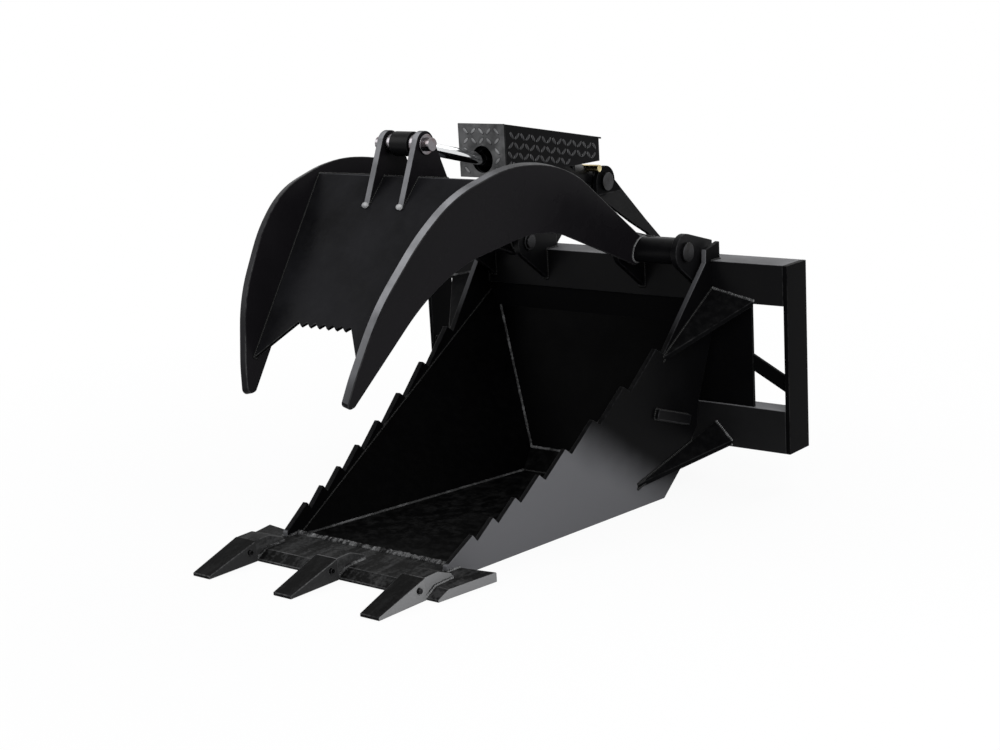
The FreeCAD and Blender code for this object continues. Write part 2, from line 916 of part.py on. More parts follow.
def make_hinge():
    make_ear("ear_inner_right", size.ear_inner)
    make_ear("ear_outer_right", ear_outer_near)
    tie = block(
        "ear_tie_right", ear_inner_far, size.ear_rear_y - size.tie_plate, mount_top,
        ear_outer_near - ear_inner_far, size.tie_plate, size.ear_rise,
    )
    pair(tie)
    keeper_near = size.ear_inner - size.ring_plate
    pin_start = keeper_near - size.ring_plate
    pair(pin_with_head("hinge_pin_right", size.hinge_pin_radius, pin_start, size.ear_outer, hinge))
    keeper = ring_across("keeper_right", size.ring_radius, hinge_bore, keeper_near, size.ear_inner, hinge)
    node(group("hinge_pin_keepers", keeper, mirror("keeper_left", keeper)))


# Tower and base pin

base_pin_z = mount_top + size.base_pin_rise
base_pin = (size.base_pin_y, base_pin_z)
base_bore = size.base_pin_radius + size.running_fit
cheek_outer = size.cheek_inner + size.tower_plate


def make_tower():
    radius = size.cheek_radius
    bend = mount_top + size.leg_bend_rise
    kink_z = mount_top + size.leg_kink_rise
    spread = size.leg_foot - size.cheek_inner
    kink = size.cheek_inner + spread * (bend - kink_z) / size.leg_bend_rise
    clear = size.leg_foot - spread * size.leg_clear_rise / size.leg_bend_rise
    foot = size.leg_foot
    front_top = size.base_pin_y - radius
    shoulder = size.base_pin_y + radius + size.leg_shoulder
    inner = [
        (size.cheek_inner, front_top, bend),
        (size.cheek_inner, shoulder, bend),
        (kink, size.leg_kink_rear_y, kink_z),
        (foot, size.leg_foot_rear_y, mount_top),
        (foot, size.leg_foot_front_y, mount_top),
        (clear, size.leg_foot_front_y, mount_top + size.leg_clear_rise),
        (kink, size.leg_kink_front_y, kink_z),
    ]
    outer = [(x + size.tower_plate, y, z) for x, y, z in inner]
    leg = sloped_solid("leg_blank", inner, outer)
    upright = plate("cheek_upright", "YZ_Plane", [
        (front_top, bend),
        (shoulder, bend),
        (size.base_pin_y + radius, base_pin_z),
        (front_top, base_pin_z),
    ], size.tower_plate)
    place(upright, size.cheek_inner)
    crown = rod_across("cheek_crown", radius, size.cheek_inner, cheek_outer, *base_pin)
    across = radius * 2
    overcut = size.tower_plate
    under = block(
        "cheek_under", size.cheek_inner - overcut, front_top, bend - across,
        size.tower_plate + overcut * 2, across, across,
    )
    crown_top = cut("cheek_crown_top", crown, under)
    bore = rod_across("cheek_bore", base_bore, size.cheek_inner, cheek_outer, *base_pin)
    pair(cut("tower_leg_right", fuse("tower_blank", leg, upright, crown_top), bore))
    reach = cheek_outer + size.ring_plate
    ring_radius = size.base_pin_radius + size.pin_head
    node(pin_with_head("base_pin", size.base_pin_radius, -reach - size.ring_plate, cheek_outer, base_pin))
    eye_half = size.base_eye_width / 2
    spacer = ring_across("spacer_right", ring_radius, base_bore, eye_half, size.cheek_inner, base_pin)
    keeper = ring_across("base_keeper", ring_radius, base_bore, -reach, -cheek_outer, base_pin)
    node(group("base_pin_rings", spacer, mirror("spacer_left", spacer), keeper))


# Grapple arm

tine_stretch = root(1 + size.tine_cant * size.tine_cant)
lug_pin = (size.lug_pin_y, hinge_z + size.lug_pin_rise)
skin_bend = (size.skin_bend_y, hinge_z + size.skin_bend_rise)
skin_front = (size.skin_front_y, hinge_z + size.skin_front_rise)
skin_rear = (size.skin_rear_y, hinge_z + size.skin_rear_rise)
boss_left = ear_inner_far + size.boss_play
boss_right = ear_outer_near - size.boss_play


def tine_middle(z):
    """Half spread of the tines' middle plane at a height."""
    return size.tine_reach + size.tine_cant * z


def tine_inner(z):
    return tine_middle(z) - size.tine_plate / 2 * tine_stretch


# Corners of a tine's outline as shares of its length: ahead of the hinge, above it, and the rounding
TINE_CORNERS = [
    (1.0039, -0.1707, 0.0116),
    (0.9778, -0.1659, 0.0096),
    (0.8014, 0.0212, 0.3857),
    (0.6866, 0.0820, 0.3279),
    (0.4098, 0.1196, 0.4050),
    (0.0135, -0.0338),
    (-0.0039, 0.0289),
    (0.3115, 0.2218, 0.4532),
    (0.4282, 0.2633, 0.5497),
    (0.5728, 0.2768, 0.4000),
    (0.7493, 0.2324, 0.2797),
    (0.8399, 0.1572, 0.4050),
    (0.9402, 0.0289, 0.4050),
    (0.9884, -0.1080, 0.4050),
]


def make_tines():
    """Each tine is one flat plate, canted so that the arm narrows towards its tips."""
    length = size.tine_length
    corners = [
        (size.hinge_y - length * ahead, hinge_z + length * above, *(length * share for share in rounding))
        for ahead, above, *rounding in TINE_CORNERS
    ]
    outline = [(corner[0], corner[1] * tine_stretch, *corner[2:]) for corner in corners]
    flat = plate("tine_flat", "YZ_Plane", outline, size.tine_plate)
    half = size.tine_plate / 2
    cant = slope_angle(size.tine_cant)
    lift = half * size.tine_cant / tine_stretch
    shift = half / tine_stretch
    place(flat, size.tine_reach - shift, 0, lift, (0, 1, 0), cant)
    eye = doc.addObject("Part::Cylinder", "tine_eye")
    bind(eye, "Radius", size.tine_eye_radius)
    bind(eye, "Height", size.tine_plate)
    middle = tine_middle(hinge_z)
    turn = 90 + cant
    place(eye, middle - shift, size.hinge_y, hinge_z + lift, (0, 1, 0), turn)
    outer = size.boss_radius + size.pin_hole_clearance
    hole = rod_across("tine_hole", outer, boss_left, boss_right, *hinge)
    pair(cut("tine_right", fuse("tine_blank", flat, eye), hole))


def make_bosses():
    bush_outer = size.hinge_pin_radius + size.bush_wall
    boss_bore = bush_outer + size.seat_gap
    bushes = []
    pair(ring_across("hinge_boss_right", size.boss_radius, boss_bore, boss_left, boss_right, hinge))
    for name, left in (("near", boss_left), ("far", boss_right - size.bush_length)):
        bush = ring_across(f"bush_{name}", bush_outer, hinge_bore, left, left + size.bush_length, hinge)
        bushes.extend([bush, mirror(f"bush_{name}_left", bush)])
    node(group("hinge_bushes", *bushes))


def skin_slope(end):
    """Unit direction, as (y, z), from the skin's bend towards one end."""
    run = end[0] - skin_bend[0]
    rise = end[1] - skin_bend[1]
    length = root(run * run + rise * rise)
    return (run / length, rise / length)


def along_skin(distance, end):
    """A spot on the skin's outer face, a distance from the bend towards one end."""
    slope = skin_slope(end)
    return (skin_bend[0] + distance * slope[0], skin_bend[1] + distance * slope[1])


def make_skin():
    """A bent plate between the tines with a notched, saw-toothed front edge."""
    bend, front, rear = skin_bend, skin_front, skin_rear
    ahead = skin_slope(front)
    behind = skin_slope(rear)
    wall = size.skin_plate
    depth_at_bend = wall / (ahead[0] * behind[1] - ahead[1] * behind[0])
    section = [
        bend,
        front,
        (front[0] - ahead[1] * wall, front[1] + ahead[0] * wall),
        (bend[0] + (ahead[0] + behind[0]) * depth_at_bend, bend[1] + (ahead[1] + behind[1]) * depth_at_bend),
        (rear[0] + behind[1] * wall, rear[1] - behind[0] * wall),
        rear,
    ]
    right = [(tine_inner(z), y, z) for y, z in section]
    left = [(-x, y, z) for x, y, z in right]
    blank = sloped_solid("skin_blank", left, right)
    run = bend[0] - front[0]
    rise = bend[1] - front[1]
    length = root(run * run + rise * rise)
    half = size.skin_notch_half
    depth = size.skin_notch_depth
    edge_half = tine_inner(front[1])
    saw = []
    pitch = half * 2 / size.skin_saw_count
    for index in range(int(size.skin_saw_count.number)):
        left_root = half - pitch * index
        saw.append((left_root, depth))
        saw.append((left_root - pitch / 2, depth - size.skin_saw_depth))
    saw.append((-half, depth))
    spare = -size.skin_overcut
    outline = [(-edge_half, 0), (-edge_half, spare), (edge_half, spare), (edge_half, 0)] + saw
    lift = size.skin_plate * 2
    tool = plate("skin_notch", "XY_Plane", outline, lift * 2)
    angle = slope_angle(rise / run)
    place(
        tool, 0, front[0] + lift * rise / length, front[1] - lift * run / length,
        (1, 0, 0), angle,
    )
    node(cut("grapple_skin", blank, tool))


def make_lugs():
    """Two lugs astride the skin's bend that hold the rod's pin."""
    middle = lug_pin
    toe = along_skin(size.lug_toe, skin_front)
    heel = along_skin(size.lug_heel, skin_rear)
    outline = [
        toe,
        skin_bend,
        heel,
        touch(middle, size.lug_radius, heel, 1),
        touch(middle, size.lug_radius, toe, -1),
    ]
    left = size.lug_offset - size.lug_plate / 2
    right = left + size.lug_plate
    flat = place(plate("lug_flat", "YZ_Plane", outline, size.lug_plate), left)
    crown = rod_across("lug_crown", size.lug_radius, left, right, *middle)
    pin_bore = size.lug_pin_radius + size.running_fit
    bore = rod_across("lug_bore", pin_bore, left, right, *middle)
    pair(cut("lug_right", fuse("lug_blank", flat, crown), bore))
    node(rod_across("lug_pin", size.lug_pin_radius, -size.lug_pin_half, size.lug_pin_half, *middle))
    eye_half = size.rod_eye_width / 2 + size.boss_play
    washer_radius = size.lug_pin_radius + size.pin_head
    washer = ring_across("washer", washer_radius, pin_bore, eye_half, left, middle)
    clip = ring_across("clip", washer_radius, pin_bore, right, right + size.ring_plate, middle)
    node(group(
        "lug_pin_washers", washer, mirror("washer_left", washer), clip, mirror("clip_left", clip),
    ))


# Hydraulic cylinder between the tower and the lugs

axis_run = base_pin[0] - lug_pin[0]
axis_rise = lug_pin[1] - base_pin[1]
pin_distance = root(axis_run * axis_run + axis_rise * axis_rise)
axis_turn = slope_angle(axis_run / axis_rise)


def axis_point(distance, rise=0):
    """A spot (y, z) at a distance along the cylinder from the base pin, and above its axis."""
    y = size.base_pin_y - (axis_run * distance - axis_rise * rise) / pin_distance
    z = base_pin_z + (axis_rise * distance + axis_run * rise) / pin_distance
    return (y, z)


def on_axis(label, radius, start, end):
    """A round bar on the cylinder's axis."""
    bar = doc.addObject("Part::Cylinder", label)
    bind(bar, "Radius", radius)
    bind(bar, "Height", end - start)
    return place(bar, 0, *axis_point(start), (1, 0, 0), axis_turn)


def make_barrel():
    eye_half = size.base_eye_width / 2
    tube = on_axis("tube_blank", size.barrel_radius, size.cap_start, size.barrel_end)
    hollow = on_axis("tube_bore", size.bore_radius, size.bore_start, size.barrel_end)
    seat = rod_across("cap_seat", size.base_eye_radius + size.seat_gap, -eye_half, eye_half, *base_pin)
    node(cut("barrel", tube, hollow, seat))
    pin_hole = rod_across("base_eye_bore", base_bore, -eye_half, eye_half, *base_pin)
    eye = rod_across("base_eye_blank", size.base_eye_radius, -eye_half, eye_half, *base_pin)
    node(cut("base_eye", eye, pin_hole))
    gland_end = size.barrel_end + size.gland_length
    gland = on_axis("gland_blank", size.gland_radius, size.barrel_end, gland_end)
    opening = on_axis("gland_bore", size.gland_bore_radius, size.barrel_end, gland_end)
    node(cut("gland", gland, opening))
    piston_radius = size.bore_radius - size.piston_clearance
    piston_end = size.piston_start + size.piston_length
    node(on_axis("piston", piston_radius, size.piston_start, piston_end))
    fittings = []
    shell = on_axis("barrel_envelope", size.barrel_radius + size.seat_gap, 0, size.barrel_end)
    for name, place_along, side in (
        ("base", size.fitting_place, 1),
        ("far", size.barrel_end - size.fitting_place, -1),
    ):
        spot = axis_point(place_along, size.fitting_rise)
        left = 0 if side > 0 else -size.fitting_reach + size.pin_head
        right = size.fitting_reach if side > 0 else 0
        stub = rod_across(f"fitting_{name}_blank", size.fitting_radius, left, right, *spot)
        fittings.append(cut(f"fitting_{name}", stub, shell))
    node(group("port_fittings", *fittings))


def make_rod():
    eye_half = size.rod_eye_width / 2
    bush_radius = size.lug_pin_radius + size.rod_bush_wall
    rod_start = size.piston_start + size.piston_length + size.rod_gap
    shaft = on_axis("rod_shaft", size.rod_radius, rod_start, pin_distance)
    eye = rod_across("rod_eye", size.rod_eye_radius, -eye_half, eye_half, *lug_pin)
    bore = rod_across("rod_eye_bore", bush_radius + size.seat_gap, -eye_half, eye_half, *lug_pin)
    node(cut("rod", fuse("rod_blank", shaft, eye), bore))
    pin_bore = size.lug_pin_radius + size.running_fit
    node(ring_across("rod_eye_bush", bush_radius, pin_bore, -eye_half, eye_half, lug_pin))


# Tread plate guard over the cylinder

guard_run = size.guard_rear_y - size.guard_front_y
guard_front_low = base_pin_z + size.guard_front_bottom_rise
guard_front_top = base_pin_z + size.guard_front_top_rise
guard_rear_low = base_pin_z + size.guard_rear_bottom_rise
guard_rear_top = base_pin_z + size.guard_rear_top_rise


def guard_top_z(y):
    fall = guard_front_top - guard_rear_top
    return guard_front_top - fall * (y - size.guard_front_y) / guard_run


def make_guard():
    sheet_wall = size.guard_sheet
    behind_front = size.guard_front_y + sheet_wall
    overhang_y = size.guard_rear_y + size.guard_overhang
    under = guard_top_z(behind_front) - sheet_wall
    cheek = plate("guard_cheek", "YZ_Plane", [
        (behind_front, guard_front_low),
        (size.guard_rear_y, guard_rear_low),
        (size.guard_rear_y, guard_top_z(size.guard_rear_y) - sheet_wall),
        (behind_front, under),
    ], sheet_wall)
    place(cheek, size.guard_half - sheet_wall)
    lid = plate("guard_lid", "YZ_Plane", [
        (behind_front, under),
        (overhang_y, guard_top_z(overhang_y) - sheet_wall),
        (overhang_y, guard_top_z(overhang_y)),
        (behind_front, guard_top_z(behind_front)),
    ], size.guard_half * 2)
    place(lid, -size.guard_half)
    node(fuse("guard_cover", cheek, mirror("guard_cheek_left", cheek), lid))
    face = block(
        "guard_face", -size.guard_half, size.guard_front_y, guard_front_low,
        size.guard_half * 2, sheet_wall, guard_front_top - guard_front_low,
    )
    hole = on_axis("guard_hole", size.guard_hole_radius, size.bore_start, pin_distance)
    node(cut("guard_front", face, hole))
    brackets = []
    for name, y in (("front", size.bracket_front_y), ("rear", size.bracket_rear_y)):
        axis_z = base_pin_z + (size.base_pin_y - y) * axis_rise / axis_run
        bracket = plate(f"bracket_{name}_blank", "YZ_Plane", [
            (y, axis_z),
            (y + size.bracket_plate, axis_z),
            (y + size.bracket_plate, guard_top_z(y + size.bracket_plate) - sheet_wall),
            (y, guard_top_z(y) - sheet_wall),
        ], size.bracket_half * 2)
        place(bracket, -size.bracket_half)
        tube = on_axis(f"bracket_{name}_seat", size.barrel_radius + size.seat_gap, 0, size.barrel_end)
        brackets.append(cut(f"bracket_{name}", bracket, tube))
    node(group("guard_brackets", *brackets))


make_mount()
make_sides()
make_floor()
make_heel_and_back()
make_liners()
make_ribs()
make_cutting_edge()
make_teeth()
make_gussets()
make_side_bar()
make_hinge()
make_tower()
make_tines()
make_bosses()
make_skin()
make_lugs()
make_barrel()
make_rod()
make_guard()
doc.recompute()

# Checks, then one file for each node

for item in doc.Objects:
    if "Invalid" in item.State or "Error" in item.State:
        raise RuntimeError(f"{item.Name} failed: {item.State}")
for piece in nodes:
    if piece.Shape.isNull() or not piece.Shape.isValid() or not piece.Shape.Solids:
        raise RuntimeError(f"{piece.Label} has no valid solid")
    if min(solid.Volume for solid in piece.Shape.Solids) <= 0:
        raise RuntimeError(f"{piece.Label} has an empty or inverted solid")

os.makedirs("parts", exist_ok=True)
for piece in nodes:
    piece.Shape.exportStep(f"parts/{piece.Label}.step")
print(f"{len(nodes)} nodes written")
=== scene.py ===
import bmesh
import bpy
import json
from math import cos, pi, radians, sin
from mathutils import Matrix, Vector
from mathutils.bvhtree import BVHTree

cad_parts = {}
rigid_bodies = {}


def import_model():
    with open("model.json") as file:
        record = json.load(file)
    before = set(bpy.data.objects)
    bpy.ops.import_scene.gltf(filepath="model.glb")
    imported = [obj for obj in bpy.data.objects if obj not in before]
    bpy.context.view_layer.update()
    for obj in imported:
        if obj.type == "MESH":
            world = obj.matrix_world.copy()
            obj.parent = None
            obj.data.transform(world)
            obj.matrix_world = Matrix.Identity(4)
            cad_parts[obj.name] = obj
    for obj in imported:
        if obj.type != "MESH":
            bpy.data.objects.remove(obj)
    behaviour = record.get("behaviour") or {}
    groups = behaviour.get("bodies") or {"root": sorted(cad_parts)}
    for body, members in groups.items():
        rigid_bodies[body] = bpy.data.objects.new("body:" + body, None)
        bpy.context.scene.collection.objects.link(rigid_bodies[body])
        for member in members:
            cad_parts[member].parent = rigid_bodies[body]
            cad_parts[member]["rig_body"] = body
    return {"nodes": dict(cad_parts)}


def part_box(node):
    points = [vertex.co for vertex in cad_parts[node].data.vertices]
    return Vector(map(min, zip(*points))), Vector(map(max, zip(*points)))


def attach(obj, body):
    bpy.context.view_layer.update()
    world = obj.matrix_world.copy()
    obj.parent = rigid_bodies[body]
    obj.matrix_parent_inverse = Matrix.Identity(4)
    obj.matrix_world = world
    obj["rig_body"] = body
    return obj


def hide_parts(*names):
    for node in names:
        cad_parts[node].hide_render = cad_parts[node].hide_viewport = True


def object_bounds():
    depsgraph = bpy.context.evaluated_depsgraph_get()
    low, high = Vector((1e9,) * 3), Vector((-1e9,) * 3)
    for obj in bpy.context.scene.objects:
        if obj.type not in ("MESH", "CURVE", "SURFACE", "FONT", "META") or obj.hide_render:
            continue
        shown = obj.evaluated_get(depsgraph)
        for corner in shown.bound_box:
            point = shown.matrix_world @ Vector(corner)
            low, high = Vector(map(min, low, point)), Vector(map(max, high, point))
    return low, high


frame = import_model()
cad_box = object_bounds()


# The photographer stands at the bucket's right front corner, a little above it, with the
# camera rolled slightly to the left. The bucket fills most of the frame.

camera_place = (2.71619, -3.20937, 1.33588)
azimuth, elevation, roll = radians(39.0001), radians(13.2341), radians(-3.2893)
look = Vector((-sin(azimuth) * cos(elevation), cos(azimuth) * cos(elevation), -sin(elevation)))
level = Vector((cos(azimuth), sin(azimuth), 0))
upright = level.cross(look)
camera_right = level * cos(roll) + upright * sin(roll)
camera_up = upright * cos(roll) - level * sin(roll)
camera_turn = Matrix((camera_right, camera_up, -look)).transposed().to_4x4()
camera_data = bpy.data.cameras.new("photo_camera")
camera_data.sensor_width = 36
camera_data.lens = 65.22
camera_data.clip_end = 60
camera = bpy.data.objects.new("photo_camera", camera_data)
camera.matrix_world = Matrix.Translation(camera_place) @ camera_turn
bpy.context.scene.collection.objects.link(camera)
bpy.context.scene.camera = camera
bpy.context.scene.view_settings.view_transform = "Standard"


# The studio is a pale floor in a white surround, lit by three large soft lamps. Floor and surround
# look white to the eye and in gloss, and the floor keeps a faint shadow under the bucket.

def add(tree, kind, **inputs):
    """A node with its inputs set by name, to a value or to another node's output."""
    new = tree.nodes.new(kind)
    for label, value in inputs.items():
        socket = new.inputs[label.replace("_", " ")]
        if isinstance(value, bpy.types.NodeSocket):
            tree.links.new(value, socket)
        else:
            socket.default_value = value
    return new


def maths(tree, operation, first, second=None, clamp=False):
    """A sum on one or two values, and its output."""
    new = tree.nodes.new("ShaderNodeMath")
    new.operation = operation
    new.use_clamp = clamp
    for index, value in enumerate((first, second)):
        if isinstance(value, bpy.types.NodeSocket):
            tree.links.new(value, new.inputs[index])
        elif value is not None:
            new.inputs[index].default_value = value
    return new.outputs[0]


def ramp(tree, value, low, high, to_low=0, to_high=1):
    """A value carried from one range to another and held at both ends."""
    return add(
        tree, "ShaderNodeMapRange", Value=value, From_Min=low, From_Max=high, To_Min=to_low, To_Max=to_high,
    ).outputs[0]


def noise(tree, place, scale, detail, roughness=0.5):
    """Cloudy noise at a place, from 0 to 1."""
    return add(
        tree, "ShaderNodeTexNoise", Vector=place, Scale=scale, Detail=detail, Roughness=roughness,
    ).outputs["Fac"]


def own_place(tree):
    """Where a spot lies, in its piece's own coordinates."""
    return tree.nodes.new("ShaderNodeTexCoord").outputs["Object"]


def empty_shader(owner):
    owner.use_nodes = True
    owner.node_tree.nodes.clear()
    return owner.node_tree


def blended(tree, share, first, second):
    """Two shaders mixed by a share from 0 to 1."""
    blend = add(tree, "ShaderNodeMixShader", Fac=share)
    tree.links.new(first.outputs[0], blend.inputs[1])
    tree.links.new(second.outputs[0], blend.inputs[2])
    return blend.outputs[0]


def seen_directly(tree):
    """1 for a ray from the camera or off a glossy or clear surface."""
    path = tree.nodes.new("ShaderNodeLightPath")
    gloss = maths(tree, "MAXIMUM", path.outputs["Is Camera Ray"], path.outputs["Is Glossy Ray"])
    return maths(tree, "MAXIMUM", gloss, path.outputs["Is Transmission Ray"])


surround = bpy.data.worlds.new("white_surround")
bpy.context.scene.world = surround
tree = empty_shader(surround)
plain_sky = add(tree, "ShaderNodeBackground", Color=(0.93, 0.95, 1, 1), Strength=0.5)
white_sky = add(tree, "ShaderNodeBackground", Color=(1, 1, 1, 1), Strength=1)
add(tree, "ShaderNodeOutputWorld", Surface=blended(tree, seen_directly(tree), plain_sky, white_sky))

shadow_near, shadow_far = 0.9, 2.6
floor_finish = bpy.data.materials.new("pale_floor")
tree = empty_shader(floor_finish)
spot = own_place(tree)
matt = add(tree, "ShaderNodeBsdfDiffuse", Color=ramp(tree, noise(tree, spot, 0.7, 2), 0, 1, 0.86, 0.9))
white = add(tree, "ShaderNodeEmission", Color=(1, 1, 1, 1), Strength=1)
away = add(tree, "ShaderNodeVectorMath", Vector=spot)
away.operation = "LENGTH"
whiter = ramp(tree, away.outputs["Value"], shadow_near, shadow_far, 0.93, 1)
whitened = maths(tree, "MULTIPLY", seen_directly(tree), whiter)
add(tree, "ShaderNodeOutputMaterial", Surface=blended(tree, whitened, matt, white))

floor_half = 14
floor_z = -0.0005
floor_mesh = bpy.data.meshes.new("floor")
floor_corners = [
    (x * floor_half, y * floor_half, floor_z) for x, y in ((-1, -1), (1, -1), (1, 1), (-1, 1))
]
floor_mesh.from_pydata(floor_corners, [], [(0, 1, 2, 3)])
floor_mesh.materials.append(floor_finish)
floor = bpy.data.objects.new("floor", floor_mesh)
bpy.context.scene.collection.objects.link(floor)

lamp_target = Vector((0, 0, 0.45))
for lamp_name, place, power, spread in (
    ("soft_lamp_right", (3.6, -1.2, 2.6), 90, 2.4),
    ("soft_lamp_left", (-3.2, -2.6, 3.2), 80, 2.8),
    ("soft_lamp_rear", (0.4, 3.4, 3.4), 60, 2.4),
):
    lamp_data = bpy.data.lights.new(lamp_name, "AREA")
    lamp_data.energy = power
    lamp_data.size = spread
    lamp = bpy.data.objects.new(lamp_name, lamp_data)
    aim = (lamp_target - Vector(place)).to_track_quat("-Z", "Y").to_matrix().to_4x4()
    lamp.matrix_world = Matrix.Translation(place) @ aim
    bpy.context.scene.collection.objects.link(lamp)


# The mounting plate is bent and welded from 8 and 12 mm steel: a top bar with its hook lip, a bottom
# bar with two slots, a centre plate, two end plates and a brace in each window, all sprayed black.
# Dust lies in drifts on the upper faces of the two bars.

def shader_group(name, inputs, outputs):
    """A shader node group with named inputs and outputs."""
    tree = bpy.data.node_groups.new(name, "ShaderNodeTree")
    for label, value in inputs.items():
        socket = tree.interface.new_socket(label, in_out="INPUT", socket_type="NodeSocketFloat")
        socket.default_value = value
    for label in outputs:
        tree.interface.new_socket(label, in_out="OUTPUT", socket_type="NodeSocketFloat")
    return tree, tree.nodes.new("NodeGroupInput"), tree.nodes.new("NodeGroupOutput")


def own_facing(tree):
    """The X, Y and Z of the way a spot faces, in its piece's own coordinates."""
    facing = tree.nodes.new("ShaderNodeTexCoord").outputs["Normal"]
    return add(tree, "ShaderNodeSeparateXYZ", Vector=facing).outputs


# Edges: rubbed wear on the eased corners, which also stands in as a painted highlight along them.
edge_wear_and_highlight_group, given, result = shader_group("rubbed and highlighted edges", {"Grain": 90, "Amount": 0.5}, ["Rubbed"])
edge_mask = edge_wear_and_highlight_group.nodes.new("ShaderNodeAttribute")
edge_mask.attribute_name = "worn_edge"
spot = own_place(edge_wear_and_highlight_group)
grain = noise(edge_wear_and_highlight_group, spot, given.outputs["Grain"], 3)
patches = noise(edge_wear_and_highlight_group, spot, 7, 1)
patchy_wear_and_highlight = ramp(edge_wear_and_highlight_group, maths(edge_wear_and_highlight_group, "ADD", grain, patches), 0.75, 1.2)
amount = maths(edge_wear_and_highlight_group, "MULTIPLY", patchy_wear_and_highlight, given.outputs["Amount"])
rubbed_and_highlit = maths(edge_wear_and_highlight_group, "MULTIPLY", amount, edge_mask.outputs["Fac"])
edge_wear_and_highlight_group.links.new(rubbed_and_highlit, result.inputs["Rubbed"])

spray_group, given, result = shader_group(
    "sprayed coat", {"Orange Peel": 320, "Cloud Size": 5, "Gloss Low": 0.28, "Gloss High": 0.44},
    ["Height", "Roughness", "Cloud", "Dust"],
)
spot = own_place(spray_group)
peel = noise(spray_group, spot, given.outputs["Orange Peel"], 1)
cloud = noise(spray_group, spot, given.outputs["Cloud Size"], 4, 0.6)
gloss = ramp(spray_group, cloud, 0.35, 0.65, given.outputs["Gloss Low"], given.outputs["Gloss High"])
level_face = ramp(spray_group, own_facing(spray_group)["Z"], 0.5, 1)
settled = ramp(spray_group, noise(spray_group, spot, 45, 5, 0.7), 0.45, 0.75)
dust = maths(spray_group, "MULTIPLY", level_face, settled)
for label, output in (("Height", peel), ("Roughness", gloss), ("Cloud", cloud), ("Dust", dust)):
    spray_group.links.new(output, result.inputs[label])


def grey(tone, blue=None):
    """A grey, or one whose blue differs from its red and green."""
    return tone, tone, tone if blue is None else blue, 1


def mix_colours(tree, share, first, second):
    """A colour between two, by a share from 0 to 1."""
    new = tree.nodes.new("ShaderNodeMix")
    new.data_type = "RGBA"
    for index, value in ((0, share), (6, first), (7, second)):
        if isinstance(value, bpy.types.NodeSocket):
            tree.links.new(value, new.inputs[index])
        else:
            new.inputs[index].default_value = value
    return new.outputs[2]


def placed_group(tree, group, **inputs):
    new = tree.nodes.new("ShaderNodeGroup")
    new.node_tree = group
    for label, value in inputs.items():
        new.inputs[label.replace("_", " ")].default_value = value
    return new


def black_spray(
    name, colour, rubbed_and_highlight_colour, rubbing_and_highlight, sheen=0.06, gloss=(0.28, 0.44),
    dust_and_light_layer=None, dust_and_light_colour=grey(0.115, 0.12),
):
    """Black spray paint, its edges lighter as wear and painted highlight, under dust, painted light or both.
    """
    shade, dust_share, dust_and_light_roughness = 0.5, 0.2, 0.3
    finish = bpy.data.materials.new(name)
    tree = empty_shader(finish)
    coat = placed_group(tree, spray_group, Gloss_Low=gloss[0], Gloss_High=gloss[1])
    edges = placed_group(tree, edge_wear_and_highlight_group, Amount=rubbing_and_highlight)
    darker = tuple(part * shade for part in colour[:3]) + (1,)
    base = mix_colours(tree, coat.outputs["Cloud"], darker, colour)
    dusty = maths(tree, "MULTIPLY", coat.outputs["Dust"], dust_share)
    base = mix_colours(tree, dusty, base, grey(0.05))
    rough = maths(tree, "ADD", coat.outputs["Roughness"], maths(tree, "MULTIPLY", dusty, 0.5), clamp=True)
    # Edges lighter: rubbed wear and a painted highlight.
    base = mix_colours(tree, edges.outputs["Rubbed"], base, rubbed_and_highlight_colour)
    # The given layer is settled dust on some paints and painted light on others.
    if dust_and_light_layer:
        layer = dust_and_light_layer(tree)
        base = mix_colours(tree, layer, base, dust_and_light_colour)
        rough = maths(tree, "ADD", rough, maths(tree, "MULTIPLY", layer, dust_and_light_roughness), clamp=True)
    bump = add(tree, "ShaderNodeBump", Height=coat.outputs["Height"], Strength=0.06, Distance=0.0004)
    shader = add(
        tree, "ShaderNodeBsdfPrincipled", Base_Color=base, Roughness=rough,
        Metallic=maths(tree, "MULTIPLY", edges.outputs["Rubbed"], 0.5),
        Normal=bump.outputs[0], Specular_IOR_Level=sheen,
    )
    add(tree, "ShaderNodeOutputMaterial", Surface=shader.outputs[0])
    return finish


corner_angle = radians(28)
flat_angle = radians(0.4)
same_spot = 0.00002


def welded_shell(name):
    """A CAD node's triangles joined into one closed shell, in a bmesh."""
    shell = bmesh.new()
    shell.from_mesh(frame["nodes"][name].data)
    bmesh.ops.remove_doubles(shell, verts=shell.verts, dist=same_spot)
    return shell


def is_corner(line):
    return line.is_manifold and line.calc_face_angle(0) > corner_angle


def finished_plate(name, finish, edge=0.0014):
    """A CAD node's own shape with its corners eased and marked for rubbed wear and a painted highlight."""
    shell = welded_shell(name)
    bmesh.ops.dissolve_limit(shell, angle_limit=flat_angle, verts=shell.verts, edges=shell.edges)
    mark = shell.faces.layers.float.new("worn_edge")
    eased = bmesh.ops.bevel(
        shell, geom=[line for line in shell.edges if is_corner(line)], offset=edge, segments=2,
        profile=0.5, affect="EDGES", clamp_overlap=False,
    )
    for face in eased["faces"]:
        face[mark] = 1
    for face in shell.faces:
        face.smooth = True
    mesh = bpy.data.meshes.new(name + "_finished")
    shell.to_mesh(mesh)
    shell.free()
    mesh.materials.append(finish)
    piece = bpy.data.objects.new(name + "_finished", mesh)
    bpy.context.scene.collection.objects.link(piece)
    even = piece.modifiers.new("even_shading", "WEIGHTED_NORMAL")
    even.keep_sharp = True
    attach(piece, frame["nodes"][name]["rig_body"])
    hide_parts(name)
    return piece


def finished_plates(names, finish, edge=0.0014):
    for name in names:
        finished_plate(name, finish, edge)


def both_hands(*names):
    """The left and the right one of each named piece."""
    return [f"{name}_{hand}" for name in names for hand in ("left", "right")]


